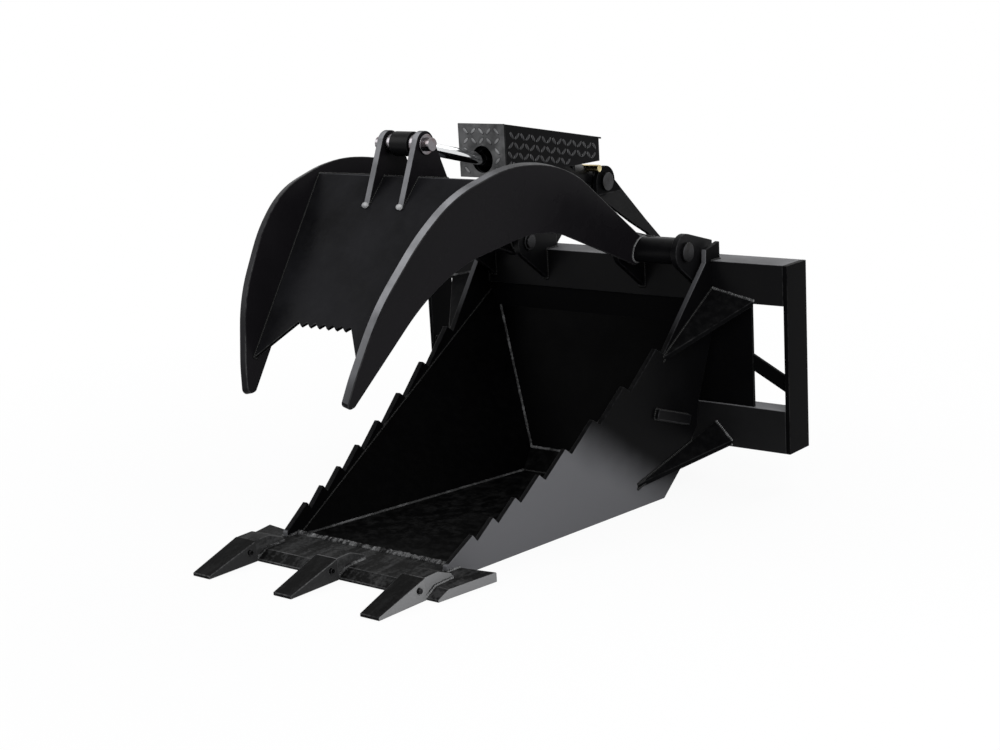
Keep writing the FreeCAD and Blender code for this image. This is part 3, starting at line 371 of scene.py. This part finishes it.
def level_dust(tree):
    """Share of pale dust on the faces that look up, in drifts."""
    drift = ramp(tree, noise(tree, own_place(tree), 6, 4), 0.3, 0.6, 0.35, 1)
    upward = ramp(tree, own_facing(tree)["Z"], 0.6, 0.95)
    return maths(tree, "MULTIPLY", upward, drift)


mount_paint = black_spray("mount_paint", grey(0.0045, 0.005), grey(0.05, 0.052), 0.6)
dull_paint = black_spray("dull_paint", grey(0.0035, 0.0038), grey(0.03), 0.5, sheen=0.01)
drifts = {"dust_and_light_layer": level_dust, "dust_and_light_colour": grey(0.2, 0.205)}
bar_paint = black_spray("bar_paint", grey(0.0045, 0.005), grey(0.05, 0.052), 0.6, **drifts)
# The bottom bar's paint is a lighter copy of the top bar's, as painted light from the floor below it.
low_bar_paint = black_spray("low_bar_paint", grey(0.013, 0.0135), grey(0.05, 0.052), 0.6, **drifts)
finished_plates(["mount_centre_plate"] + both_hands("mount_end", "window_brace"), dull_paint)
finished_plate("mount_top_bar", bar_paint)
finished_plate("mount_bottom_bar", low_bar_paint)


# The two side plates are cut from 14 mm plate with eight saw teeth along the sloping top edge, welded
# to the floor and to the mount. Low on their outer faces a grey film of dry soil is mixed with painted
# light from the floor, and their front edges at the crest and nose carry a painted highlight.

def painted_floor_light_and_dust(tree):
    """Share of grey: soil and painted floor light low on outer faces, painted highlight on the front edges.
    """
    slant, lit_dust_low, lit_dust_high = 0.667, 0.17, 0.33
    crown_low, crown_high = 0.4, 0.58
    nose_rear, nose_front = -0.38, -0.384
    spot = own_place(tree)
    place = add(tree, "ShaderNodeSeparateXYZ", Vector=spot).outputs
    facing = own_facing(tree)
    height = maths(tree, "ADD", place["Z"], maths(tree, "MULTIPLY", place["Y"], slant))
    smear = maths(tree, "SUBTRACT", noise(tree, spot, 7, 3), 0.5)
    wander = maths(tree, "MULTIPLY", smear, 0.05)
    fade = add(
        tree, "ShaderNodeMapRange", Value=maths(tree, "ADD", height, wander),
        From_Min=lit_dust_low, From_Max=lit_dust_high, To_Min=1, To_Max=0,
    )
    fade.interpolation_type = "SMOOTHSTEP"
    outward = maths(tree, "MULTIPLY", facing["X"], place["X"])
    outside = maths(tree, "GREATER_THAN", outward, 0.1)
    crown = ramp(tree, place["Z"], crown_low, crown_high)
    nose = ramp(tree, place["Y"], nose_rear, nose_front)
    # Painted highlight on the forward-facing edges at the crest and at the nose.
    front_edge_highlight = maths(tree, "MULTIPLY", ramp(tree, facing["Y"], -0.3, -0.5), maths(tree, "ADD", crown, nose))
    return maths(tree, "ADD", maths(tree, "MULTIPLY", fade.outputs[0], outside), front_edge_highlight, clamp=True)


side_paint = black_spray(
    "side_paint", grey(0.003, 0.0033), grey(0.02, 0.021), 0.5, sheen=0.03, dust_and_light_layer=painted_floor_light_and_dust,
)
finished_plates(both_hands("side_plate"), side_paint, edge=0.002)


# Inside are the flat floor, the heel, the back plate with two ribs behind it and the two liners that
# lean outwards. All are welded in and painted with the rest, here in a darker copy as painted shade.

inner_paint = black_spray(
    "inner_paint", grey(0.0012, 0.0013), grey(0.02), 0.4, sheen=0.01, gloss=(0.34, 0.5),
)
inside_plates = ["floor_plate", "heel_plate", "back_plate", "back_ribs"] + both_hands("liner")
finished_plates(inside_plates, inner_paint)


# The cutting edge is 22 mm hard plate, swept back at both wings. Three adapters are welded on it and
# each holds a cast chisel tooth with a driven pin. Digging has taken most of their paint.

dug_group, given, result = shader_group("dug surface", {"Pits": 120, "Scale Marks": 40}, ["Height", "Bare"])
spot = own_place(dug_group)
pits = noise(dug_group, spot, given.outputs["Pits"], 6, 0.65)
drawn_out = add(dug_group, "ShaderNodeMapping", Vector=spot, Scale=(1, 0.22, 1)).outputs[0]
marks = noise(dug_group, drawn_out, given.outputs["Scale Marks"], 5, 0.6)
uneven = maths(dug_group, "ADD", pits, maths(dug_group, "MULTIPLY", marks, 1.6))
dug_group.links.new(uneven, result.inputs["Height"])
dug_group.links.new(ramp(dug_group, uneven, 1.2, 1.6), result.inputs["Bare"])


def painted_right_side_light(tree):
    """Share of painted light on the upright faces that look outwards to the right, more towards the right."""
    place = add(tree, "ShaderNodeSeparateXYZ", Vector=own_place(tree)).outputs
    outward = ramp(tree, own_facing(tree)["X"], 0.5, 0.8)
    return maths(tree, "MULTIPLY", outward, ramp(tree, place["X"], 0.04, 0.28, 0.12, 1))


def dug_steel(name, painted, bare, rubbing_and_highlight):
    """Hard steel with the remains of its black paint, scratched along the digging direction."""
    finish = bpy.data.materials.new(name)
    tree = empty_shader(finish)
    face = placed_group(tree, dug_group)
    edges = placed_group(tree, edge_wear_and_highlight_group, Amount=rubbing_and_highlight, Grain=140)
    base = mix_colours(tree, face.outputs["Bare"], painted, bare)
    # Edges lighter: rubbed wear and a painted highlight.
    base = mix_colours(tree, edges.outputs["Rubbed"], base, grey(0.12))
    # Painted light on the faces that look to the right.
    base = mix_colours(tree, painted_right_side_light(tree), base, grey(0.2))
    bump = add(tree, "ShaderNodeBump", Height=face.outputs["Height"], Strength=0.35, Distance=0.0012)
    shader = add(
        tree, "ShaderNodeBsdfPrincipled", Base_Color=base, Normal=bump.outputs[0],
        Roughness=ramp(tree, face.outputs["Height"], 0.9, 1.7, 0.45, 0.75),
        Metallic=maths(tree, "MULTIPLY", edges.outputs["Rubbed"], 0.6), Specular_IOR_Level=0.03,
    )
    add(tree, "ShaderNodeOutputMaterial", Surface=shader.outputs[0])
    return finish


def turned_metal(name, colour, smoothest, roughest, stain):
    """Bare machined metal: its colour, the range of its roughness and the colour of its stains."""
    finish = bpy.data.materials.new(name)
    tree = empty_shader(finish)
    spot = own_place(tree)
    streaks = add(tree, "ShaderNodeMapping", Vector=spot, Scale=(1, 1, 6)).outputs[0]
    lines = noise(tree, streaks, 120, 4)
    stained = ramp(tree, noise(tree, spot, 26, 4), 0.5, 0.72)
    bump = add(tree, "ShaderNodeBump", Height=lines, Strength=0.08, Distance=0.0003)
    shader = add(
        tree, "ShaderNodeBsdfPrincipled", Base_Color=mix_colours(tree, stained, colour, stain),
        Roughness=ramp(tree, lines, 0.3, 0.7, smoothest, roughest), Metallic=1, Normal=bump.outputs[0],
    )
    add(tree, "ShaderNodeOutputMaterial", Surface=shader.outputs[0])
    return finish


edge_steel = dug_steel("edge_steel", grey(0.005), grey(0.045), 0.7)
tooth_steel = dug_steel("tooth_steel", grey(0.002), grey(0.012), 0.6)
pin_steel = turned_metal("pin_steel", grey(0.035, 0.037), 0.25, 0.4, (0.012, 0.011, 0.01, 1))
finished_plates(["cutting_edge", "tooth_adapters"], edge_steel, edge=0.0016)
finished_plates(["tooth_left", "tooth_middle", "tooth_right"], tooth_steel, edge=0.002)
finished_plate("tooth_pins", pin_steel, edge=0.0008)


# Outside each side plate, an upper and a lower three cornered gusset tie it to the mount's front,
# and a short flat bar is welded on below the upper one. All are plain painted plate.

finished_plates(both_hands("upper_gusset", "lower_gusset"), dull_paint)
finished_plates(both_hands("side_bar"), mount_paint)


# Four hinge ears stand on the mount's top bar, in pairs with a tie plate behind each. A dark oiled
# pin goes through each pair and is kept by a ring.

finished_plates(both_hands("ear_inner", "ear_outer", "ear_tie"), mount_paint)
finished_plates(both_hands("hinge_pin") + ["hinge_pin_keepers"], pin_steel, edge=0.0008)


# The tower is two bent legs of 12 mm plate from the mount's top bar up to the cylinder's base pin,
# which has a head, two spacer rings and a keeper.

finished_plates(both_hands("tower_leg"), dull_paint)
finished_plates(["base_pin", "base_pin_rings"], pin_steel, edge=0.0008)


# The grapple arm is two canted tines cut from 20 mm plate, each on a boss tube with bronze bushes at
# the hinge, with a bent skin welded between them. The skin's front edge has a notch and a saw edge.

def painted_front_edge_highlight(tree):
    """Share of painted highlight on the plates' cut edges that look forwards and up, least on the left tine.
    """
    spot = own_place(tree)
    place = add(tree, "ShaderNodeSeparateXYZ", Vector=spot).outputs
    facing = own_facing(tree)
    cut_face = ramp(tree, maths(tree, "ABSOLUTE", facing["X"]), 0.5, 0.35)
    forward = ramp(tree, facing["Y"], -0.05, -0.5, 0.12)
    raised = ramp(tree, facing["Z"], 0.15, 0.5)
    mottled = ramp(tree, noise(tree, spot, 16, 3), 0.3, 0.6, 0.6)
    rightward = ramp(tree, place["X"], -0.12, -0.06, 0.06)
    share = maths(tree, "MULTIPLY", cut_face, forward)
    for part in (raised, mottled, rightward):
        share = maths(tree, "MULTIPLY", share, part)
    return share


arm_gloss = (0.22, 0.36)
# The tines' and lugs' forward cut edges carry a painted highlight.
arm_paint = black_spray(
    "arm_paint", (0.0085, 0.0078, 0.009, 1), grey(0.06), 0.5, sheen=0.03, gloss=arm_gloss,
    dust_and_light_layer=painted_front_edge_highlight, dust_and_light_colour=grey(0.3, 0.31),
)
skin_paint = black_spray(
    "skin_paint", (0.003, 0.0028, 0.003, 1), grey(0.07), 0.6, sheen=0.015, gloss=arm_gloss,
    dust_and_light_layer=level_dust, dust_and_light_colour=grey(0.045, 0.05),
)
bronze = turned_metal("bronze_bush", (0.62, 0.38, 0.2, 1), 0.25, 0.4, (0.3, 0.17, 0.1, 1))
finished_plates(both_hands("tine"), arm_paint, edge=0.0022)
finished_plate("grapple_skin", skin_paint, edge=0.0012)
finished_plates(both_hands("hinge_boss"), mount_paint, edge=0.001)
finished_plate("hinge_bushes", bronze, edge=0.0006)


# Two plate lugs astride the skin's bend hold the rod's pin. Their front edges carry a painted highlight,
# and the pin and its washers are oily, with some rust.

rusty_pin = turned_metal("rusty_pin", (0.2, 0.19, 0.2, 1), 0.15, 0.3, (0.1, 0.03, 0.02, 1))
finished_plates(both_hands("lug"), arm_paint, edge=0.0012)
finished_plates(["lug_pin", "lug_pin_washers"], rusty_pin, edge=0.0008)


# The hydraulic cylinder has a hard chromed rod with a painted, bronze bushed eye, a painted barrel
# with its welded base eye and screwed gland, and brass fittings at the two ports.

eye_reach = 0.0295
chrome = turned_metal("hard_chrome", (0.72, 0.73, 0.74, 1), 0.05, 0.12, (0.6, 0.61, 0.62, 1))
brass = turned_metal("brass_fitting", (0.8, 0.7, 0.4, 1), 0.2, 0.35, (0.4, 0.33, 0.16, 1))
rod = finished_plate("rod", chrome, edge=0.0008)
rod.data.materials.append(mount_paint)
pin_low, pin_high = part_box("lug_pin")
for face in rod.data.polygons:
    away = face.center - (pin_low + pin_high) / 2
    if away.yz.length < eye_reach:
        face.material_index = 1
finished_plate("rod_eye_bush", bronze, edge=0.0006)
finished_plates(["barrel", "base_eye", "gland"], mount_paint, edge=0.001)
finished_plate("piston", pin_steel, edge=0.0008)
finished_plate("port_fittings", brass, edge=0.001)


# The guard over the barrel is folded from 4 mm tread plate: a cover, a front plate with a hole for
# the rod and two brackets on the barrel. The tread's raised lozenges stand in crossing rows.

def painted_front_light(tree):
    """Share of painted light on the faces that look forwards, in streaks."""
    forward = ramp(tree, own_facing(tree)["Y"], -0.6, -0.9)
    return maths(tree, "MULTIPLY", forward, ramp(tree, noise(tree, own_place(tree), 30, 4), 0.35, 0.65, 0.4))


# The guard's forward faces are lightened with painted light, more on the lozenges.
guard_paint = black_spray(
    "guard_paint", grey(0.0035, 0.004), grey(0.05), 0.6, sheen=0.03, gloss=(0.3, 0.42),
    dust_and_light_layer=painted_front_light, dust_and_light_colour=grey(0.14),
)
lozenge_paint = black_spray(
    "lozenge_paint", grey(0.035, 0.037), grey(0.05), 0.6, sheen=0.15, gloss=(0.25, 0.4),
    dust_and_light_layer=painted_front_light, dust_and_light_colour=grey(0.3),
)
finished_plates(["guard_cover", "guard_front", "guard_brackets"], guard_paint, edge=0.0008)


def geometry_tree(name, inputs):
    """An empty geometry node tree with named inputs, and its first and last node."""
    tree = bpy.data.node_groups.new(name, "GeometryNodeTree")
    tree.interface.new_socket("Geometry", in_out="INPUT", socket_type="NodeSocketGeometry")
    for label, (kind, value) in inputs.items():
        socket = tree.interface.new_socket(label, in_out="INPUT", socket_type=kind)
        if value is not None:
            socket.default_value = value
    tree.interface.new_socket("Geometry", in_out="OUTPUT", socket_type="NodeSocketGeometry")
    return tree, tree.nodes.new("NodeGroupInput"), tree.nodes.new("NodeGroupOutput")


def put_out(tree, stamped, given, result):
    """Make a tree's instances real, smooth and finished, as its result."""
    real = add(tree, "GeometryNodeRealizeInstances", Geometry=stamped.outputs[0])
    smooth = add(tree, "GeometryNodeSetShadeSmooth", Geometry=real.outputs[0])
    coloured = add(
        tree, "GeometryNodeSetMaterial", Geometry=smooth.outputs[0], Material=given.outputs["Finish"],
    )
    tree.links.new(coloured.outputs[0], result.inputs[0])


def baked(name, mesh, tree, **inputs):
    """The plain mesh that a geometry node tree makes from a mesh."""
    carrier = bpy.data.objects.new(name, mesh)
    bpy.context.scene.collection.objects.link(carrier)
    maker = carrier.modifiers.new(name, "NODES")
    maker.node_group = tree
    for item in tree.interface.items_tree:
        label = item.name.replace(" ", "_")
        if item.in_out == "INPUT" and label in inputs:
            maker[item.identifier] = inputs[label]
    graph = bpy.context.evaluated_depsgraph_get()
    graph.update()
    made = bpy.data.meshes.new_from_object(carrier.evaluated_get(graph), depsgraph=graph)
    carrier.modifiers.clear()
    bpy.data.objects.remove(carrier)
    made.name = name
    return made


def vector_maths(tree, operation, first, second):
    new = tree.nodes.new("ShaderNodeVectorMath")
    new.operation = operation
    for index, value in enumerate((first, second)):
        socket = new.inputs["Scale"] if operation == "SCALE" and index else new.inputs[index]
        if isinstance(value, bpy.types.NodeSocket):
            tree.links.new(value, socket)
        else:
            socket.default_value = value
    return new.outputs[0]


tread_tree, given, result = geometry_tree("tread lozenges", {
    "Middle": ("NodeSocketVector", None),
    "Turn": ("NodeSocketRotation", None),
    "Width": ("NodeSocketFloat", 0.4),
    "Height": ("NodeSocketFloat", 0.14),
    "Pitch": ("NodeSocketFloat", 0.02),
    "Long": ("NodeSocketFloat", 0.0115),
    "Wide": ("NodeSocketFloat", 0.0042),
    "Rise": ("NodeSocketFloat", 0.0014),
    "Margin": ("NodeSocketFloat", 0.0075),
    "Probe": ("NodeSocketFloat", 0.003),
    "Finish": ("NodeSocketMaterial", None),
})
turn = given.outputs["Turn"]
width_steps = maths(tread_tree, "DIVIDE", given.outputs["Width"], given.outputs["Pitch"])
height_steps = maths(tread_tree, "DIVIDE", given.outputs["Height"], given.outputs["Pitch"])
across = maths(tread_tree, "CEIL", width_steps)
upward = maths(tread_tree, "CEIL", height_steps)
rows = add(
    tread_tree, "GeometryNodeMeshGrid", Size_X=given.outputs["Width"], Size_Y=given.outputs["Height"],
    Vertices_X=across, Vertices_Y=upward,
)
laid = add(
    tread_tree, "GeometryNodeTransform", Geometry=rows.outputs["Mesh"],
    Translation=given.outputs["Middle"], Rotation=turn,
)

# A lozenge stands only where the sheet lies under its middle and under four spots around it.
outward = add(tread_tree, "FunctionNodeRotateVector", Vector=(0, 0, 1), Rotation=turn).outputs[0]
inward = vector_maths(tread_tree, "SCALE", outward, -1.0)
lift = vector_maths(tread_tree, "SCALE", outward, given.outputs["Probe"])
here = tread_tree.nodes.new("GeometryNodeInputPosition").outputs[0]
depth = maths(tread_tree, "MULTIPLY", given.outputs["Probe"], 2.0)
kept = None
for step_x, step_y in ((0, 0), (1, 1), (1, -1), (-1, 1), (-1, -1)):
    aside = add(tread_tree, "FunctionNodeRotateVector", Vector=(step_x, step_y, 0), Rotation=turn)
    shift = vector_maths(tread_tree, "SCALE", aside.outputs[0], given.outputs["Margin"])
    start = vector_maths(tread_tree, "ADD", vector_maths(tread_tree, "ADD", here, shift), lift)
    ray = add(
        tread_tree, "GeometryNodeRaycast", Target_Geometry=given.outputs["Geometry"],
        Source_Position=start, Ray_Direction=inward, Ray_Length=depth,
    )
    hit = ray.outputs["Is Hit"]
    if kept is None:
        kept = hit
        continue
    both = tread_tree.nodes.new("FunctionNodeBooleanMath")
    both.operation = "AND"
    tread_tree.links.new(kept, both.inputs[0])
    tread_tree.links.new(hit, both.inputs[1])
    kept = both.outputs[0]

# Every second lozenge leans the other way.
number = tread_tree.nodes.new("GeometryNodeInputIndex").outputs[0]
column = maths(tread_tree, "FLOOR", maths(tread_tree, "DIVIDE", number, upward))
in_column = maths(tread_tree, "MODULO", number, upward)
odd = maths(tread_tree, "MODULO", maths(tread_tree, "ADD", column, in_column), 2.0)
lean = maths(tread_tree, "MULTIPLY", maths(tread_tree, "SUBTRACT", odd, 0.5), pi / 2)
own_lean = add(tread_tree, "ShaderNodeCombineXYZ", Z=lean)
own_turn = add(tread_tree, "FunctionNodeEulerToRotation", Euler=own_lean.outputs[0])
turned = add(tread_tree, "FunctionNodeRotateRotation", Rotation=turn, Rotate_By=own_turn.outputs[0])
turned.rotation_space = "LOCAL"
bead = add(tread_tree, "GeometryNodeMeshUVSphere", Segments=10, Rings=4, Radius=1.0)
bead_size = add(
    tread_tree, "ShaderNodeCombineXYZ", X=given.outputs["Long"], Y=given.outputs["Wide"],
    Z=given.outputs["Rise"],
)
lozenge = add(tread_tree, "GeometryNodeTransform", Geometry=bead.outputs["Mesh"], Scale=bead_size.outputs[0])
stamped = add(
    tread_tree, "GeometryNodeInstanceOnPoints", Points=laid.outputs[0], Selection=kept,
    Instance=lozenge.outputs[0], Rotation=turned.outputs[0],
)
put_out(tread_tree, stamped, given, result)


def one_mesh(name, meshes, finish):
    """Several meshes joined into one, in one material."""
    joined = bmesh.new()
    for mesh in meshes:
        joined.from_mesh(mesh)
    for face in joined.faces:
        face.material_index = 0
    whole = bpy.data.meshes.new(name)
    joined.to_mesh(whole)
    joined.free()
    whole.materials.append(finish)
    return whole


def shown(name, mesh, body):
    piece = bpy.data.objects.new(name, mesh)
    bpy.context.scene.collection.objects.link(piece)
    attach(piece, body)
    return piece


quarter = radians(90)
cover_fall = radians(-10.87)
cover_sheet, front_sheet, cheek_sheet = (0.4, 0.14), (0.14, 0.14), (0.4, 0.16)
cheek_middle_drop = 0.06
cover_low, cover_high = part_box("guard_cover")
front_low, front_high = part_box("guard_front")
front_middle_z = (front_low.z + front_high.z) / 2
cover_y = (cover_low.y + cover_high.y) / 2
cover_top = front_high.z + (cover_y - front_low.y) * sin(cover_fall) / cos(cover_fall)
cheek_z = cover_top - cheek_middle_drop
standing = Matrix.Rotation(quarter, 3, "X")
lengthwise = Matrix.Rotation(cover_fall, 3, "X") @ Matrix.Rotation(quarter, 3, "Z")
backwards = Matrix.Rotation(cover_fall, 3, "X") @ Matrix.Rotation(-quarter, 3, "Z")
tread_sheets = []
for sheet, node, middle, turn, (width, height) in (
    ("front", "guard_front", (0, front_low.y, front_middle_z), standing, front_sheet),
    ("top", "guard_cover", (0, cover_y, cover_top), lengthwise, cover_sheet),
    ("right", "guard_cover", (cover_high.x, cover_y, cheek_z), lengthwise @ standing, cheek_sheet),
    ("left", "guard_cover", (cover_low.x, cover_y, cheek_z), backwards @ standing, cheek_sheet),
):
    tread_sheets.append(baked(
        f"tread_{sheet}", frame["nodes"][node].data, tread_tree, Middle=middle, Turn=turn.to_euler(),
        Width=width, Height=height, Finish=lozenge_paint,
    ))
tread_mesh = one_mesh("guard_tread_lozenges", tread_sheets, lozenge_paint)
tread = shown("guard_tread_lozenges", tread_mesh, "barrel")


# Fillet welds hold the plates together, run by hand in short overlapping ripples. Most are painted
# with the rest, some are dusty or worn, those at the cutting edge are rubbed bare, and the welds at
# the lugs' toes are bright lumps.

weld_spacing = 0.004
weld_touch = 0.0005
shortest_weld = 0.012
box_margin = 0.006


def touching_runs(name, onto):
    """Stretches of one plate's edges that lie on another plate, as pairs of points."""
    shell = welded_shell(name)
    other = welded_shell(onto)
    surface = BVHTree.FromBMesh(other)
    low, high = cad_box
    runs = []
    for line in shell.edges:
        if not is_corner(line):
            continue
        start, end = line.verts[0].co, line.verts[1].co
        count = max(2, round((end - start).length / weld_spacing))
        first = last = None
        for index in range(count + 1):
            spot = start.lerp(end, (index + 0.5) / (count + 1))
            inside = all(low[axis] + box_margin < spot[axis] < high[axis] - box_margin for axis in range(3))
            if inside and surface.find_nearest(spot, weld_touch)[0] is not None:
                first = spot if first is None else first
                last = spot
                continue
            if first is not None and (last - first).length > shortest_weld:
                runs.append((first, last))
            first = None
        shortest = shortest_weld if count > 2 else weld_touch
        if first is not None and (last - first).length > shortest:
            runs.append((first, last))
    shell.free()
    other.free()
    return runs


weld_tree, given, result = geometry_tree("weld bead", {
    "Ripple": ("NodeSocketFloat", 0.005),
    "Wide": ("NodeSocketFloat", 0.0042),
    "Seed": ("NodeSocketInt", 4),
    "Finish": ("NodeSocketMaterial", None),
})
paths = add(weld_tree, "GeometryNodeMeshToCurve", Mesh=given.outputs["Geometry"])
steps = weld_tree.nodes.new("GeometryNodeResampleCurve")
steps.mode = "LENGTH"
weld_tree.links.new(paths.outputs[0], steps.inputs["Curve"])
weld_tree.links.new(given.outputs["Ripple"], steps.inputs["Length"])
direction = weld_tree.nodes.new("GeometryNodeInputTangent")
along = weld_tree.nodes.new("FunctionNodeAlignRotationToVector")
along.axis = "X"
weld_tree.links.new(direction.outputs[0], along.inputs["Vector"])
uneven = weld_tree.nodes.new("FunctionNodeRandomValue")
uneven.data_type = "FLOAT"
smallest_ripple, largest_ripple = 0.85, 1.15
uneven.inputs[2].default_value = smallest_ripple
uneven.inputs[3].default_value = largest_ripple
weld_tree.links.new(given.outputs["Seed"], uneven.inputs["Seed"])
blob = add(weld_tree, "GeometryNodeMeshUVSphere", Segments=7, Rings=4, Radius=1.0)
blob_size = add(
    weld_tree, "ShaderNodeCombineXYZ", X=maths(weld_tree, "MULTIPLY", given.outputs["Ripple"], 0.8),
    Y=given.outputs["Wide"], Z=given.outputs["Wide"],
)
ridge = add(weld_tree, "GeometryNodeTransform", Geometry=blob.outputs["Mesh"], Scale=blob_size.outputs[0])
stamped = add(
    weld_tree, "GeometryNodeInstanceOnPoints", Points=steps.outputs[0], Instance=ridge.outputs[0],
    Rotation=along.outputs[0], Scale=uneven.outputs[1],
)
put_out(weld_tree, stamped, given, result)

weld_paint = black_spray("weld_paint", grey(0.006), grey(0.05), 0.5, sheen=0.15, gloss=(0.18, 0.3))
bare_weld = dug_steel("bare_weld", grey(0.03), grey(0.14), 0.5)
edge_weld = dug_steel("edge_weld", grey(0.01), grey(0.26), 0.5)
ground_weld = dug_steel("ground_weld", grey(0.35), grey(0.6), 0)


def weld_beads(name, joints, body, finish, wide=0.0042, shift=(0, 0, 0)):
    """One mesh of beads along every place where the first plate of a pair lies on the second."""
    runs = [run for first, second in joints for run in touching_runs(first, second)]
    line_mesh = bpy.data.meshes.new(name + "_path")
    spots = [spot + Vector(shift) for run in runs for spot in run]
    line_mesh.from_pydata(spots, [(index, index + 1) for index in range(0, len(spots), 2)], [])
    mesh = baked(name, line_mesh, weld_tree, Finish=finish, Wide=wide)
    piece = shown(name, mesh, body)


dusty_joints = [
    ("liner_left", "floor_plate"), ("liner_right", "floor_plate"), ("liner_left", "back_plate"),
    ("liner_right", "back_plate"), ("back_plate", "heel_plate"),
]
painted_joints = [
    ("liner_left", "side_plate_left"), ("liner_right", "side_plate_right"), ("heel_plate", "floor_plate"),
    ("mount_centre_plate", "mount_top_bar"),
]
for hand in ("left", "right"):
    dusty_joints += [(f"upper_gusset_{hand}", "mount_top_bar"), (f"lower_gusset_{hand}", "mount_bottom_bar")]
    painted_joints += [
        (f"upper_gusset_{hand}", f"side_plate_{hand}"), (f"lower_gusset_{hand}", f"side_plate_{hand}"),
        (f"side_bar_{hand}", f"side_plate_{hand}"), (f"side_plate_{hand}", "mount_top_bar"),
        (f"ear_inner_{hand}", "mount_top_bar"), (f"ear_outer_{hand}", "mount_top_bar"),
        (f"ear_tie_{hand}", f"ear_inner_{hand}"), (f"ear_tie_{hand}", f"ear_outer_{hand}"),
        (f"tower_leg_{hand}", "mount_top_bar"), (f"window_brace_{hand}", f"mount_end_{hand}"),
    ]
edge_joints = [(name, "cutting_edge") for name in ["tooth_adapters"] + both_hands("side_plate")]
skin_joints = [(name, "grapple_skin") for name in both_hands("lug")]
skin_joints += [("grapple_skin", name) for name in both_hands("tine")]
weld_beads("bucket_weld_beads", painted_joints, "bucket", weld_paint)
weld_beads("bucket_dusty_welds", dusty_joints, "bucket", bare_weld)
weld_beads("cutting_edge_welds", edge_joints, "bucket", edge_weld, wide=0.005)
floor_joint = [("floor_plate", "cutting_edge")]
weld_beads("floor_front_weld", floor_joint, "bucket", edge_weld, wide=0.0115, shift=(0, 0.002, 0.005))
weld_beads("grapple_weld_beads", skin_joints, "grapple", weld_paint, wide=0.0034)

toe_size = Matrix.Diagonal((0.009, 0.007, 0.007, 1))
toe_ahead, toe_lift = 0.001, 0.004
toe_blobs = bmesh.new()
for side in (-1, 1):
    toe_low, toe_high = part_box("lug_left" if side < 0 else "lug_right")
    toe = Matrix.Translation(((toe_low.x + toe_high.x) / 2, toe_low.y - toe_ahead, toe_low.z + toe_lift))
    bmesh.ops.create_uvsphere(toe_blobs, u_segments=16, v_segments=10, radius=1, matrix=toe @ toe_size)
for face in toe_blobs.faces:
    face.smooth = True
toe_mesh = bpy.data.meshes.new("lug_toe_welds")
toe_blobs.to_mesh(toe_mesh)
toe_blobs.free()
toe_mesh.materials.append(ground_weld)
toe_welds = shown("lug_toe_welds", toe_mesh, "grapple")
boss_joints = [("tine_left", "hinge_boss_left"), ("tine_right", "hinge_boss_right")]
weld_beads("hinge_boss_welds", boss_joints, "grapple", bare_weld, wide=0.0034)
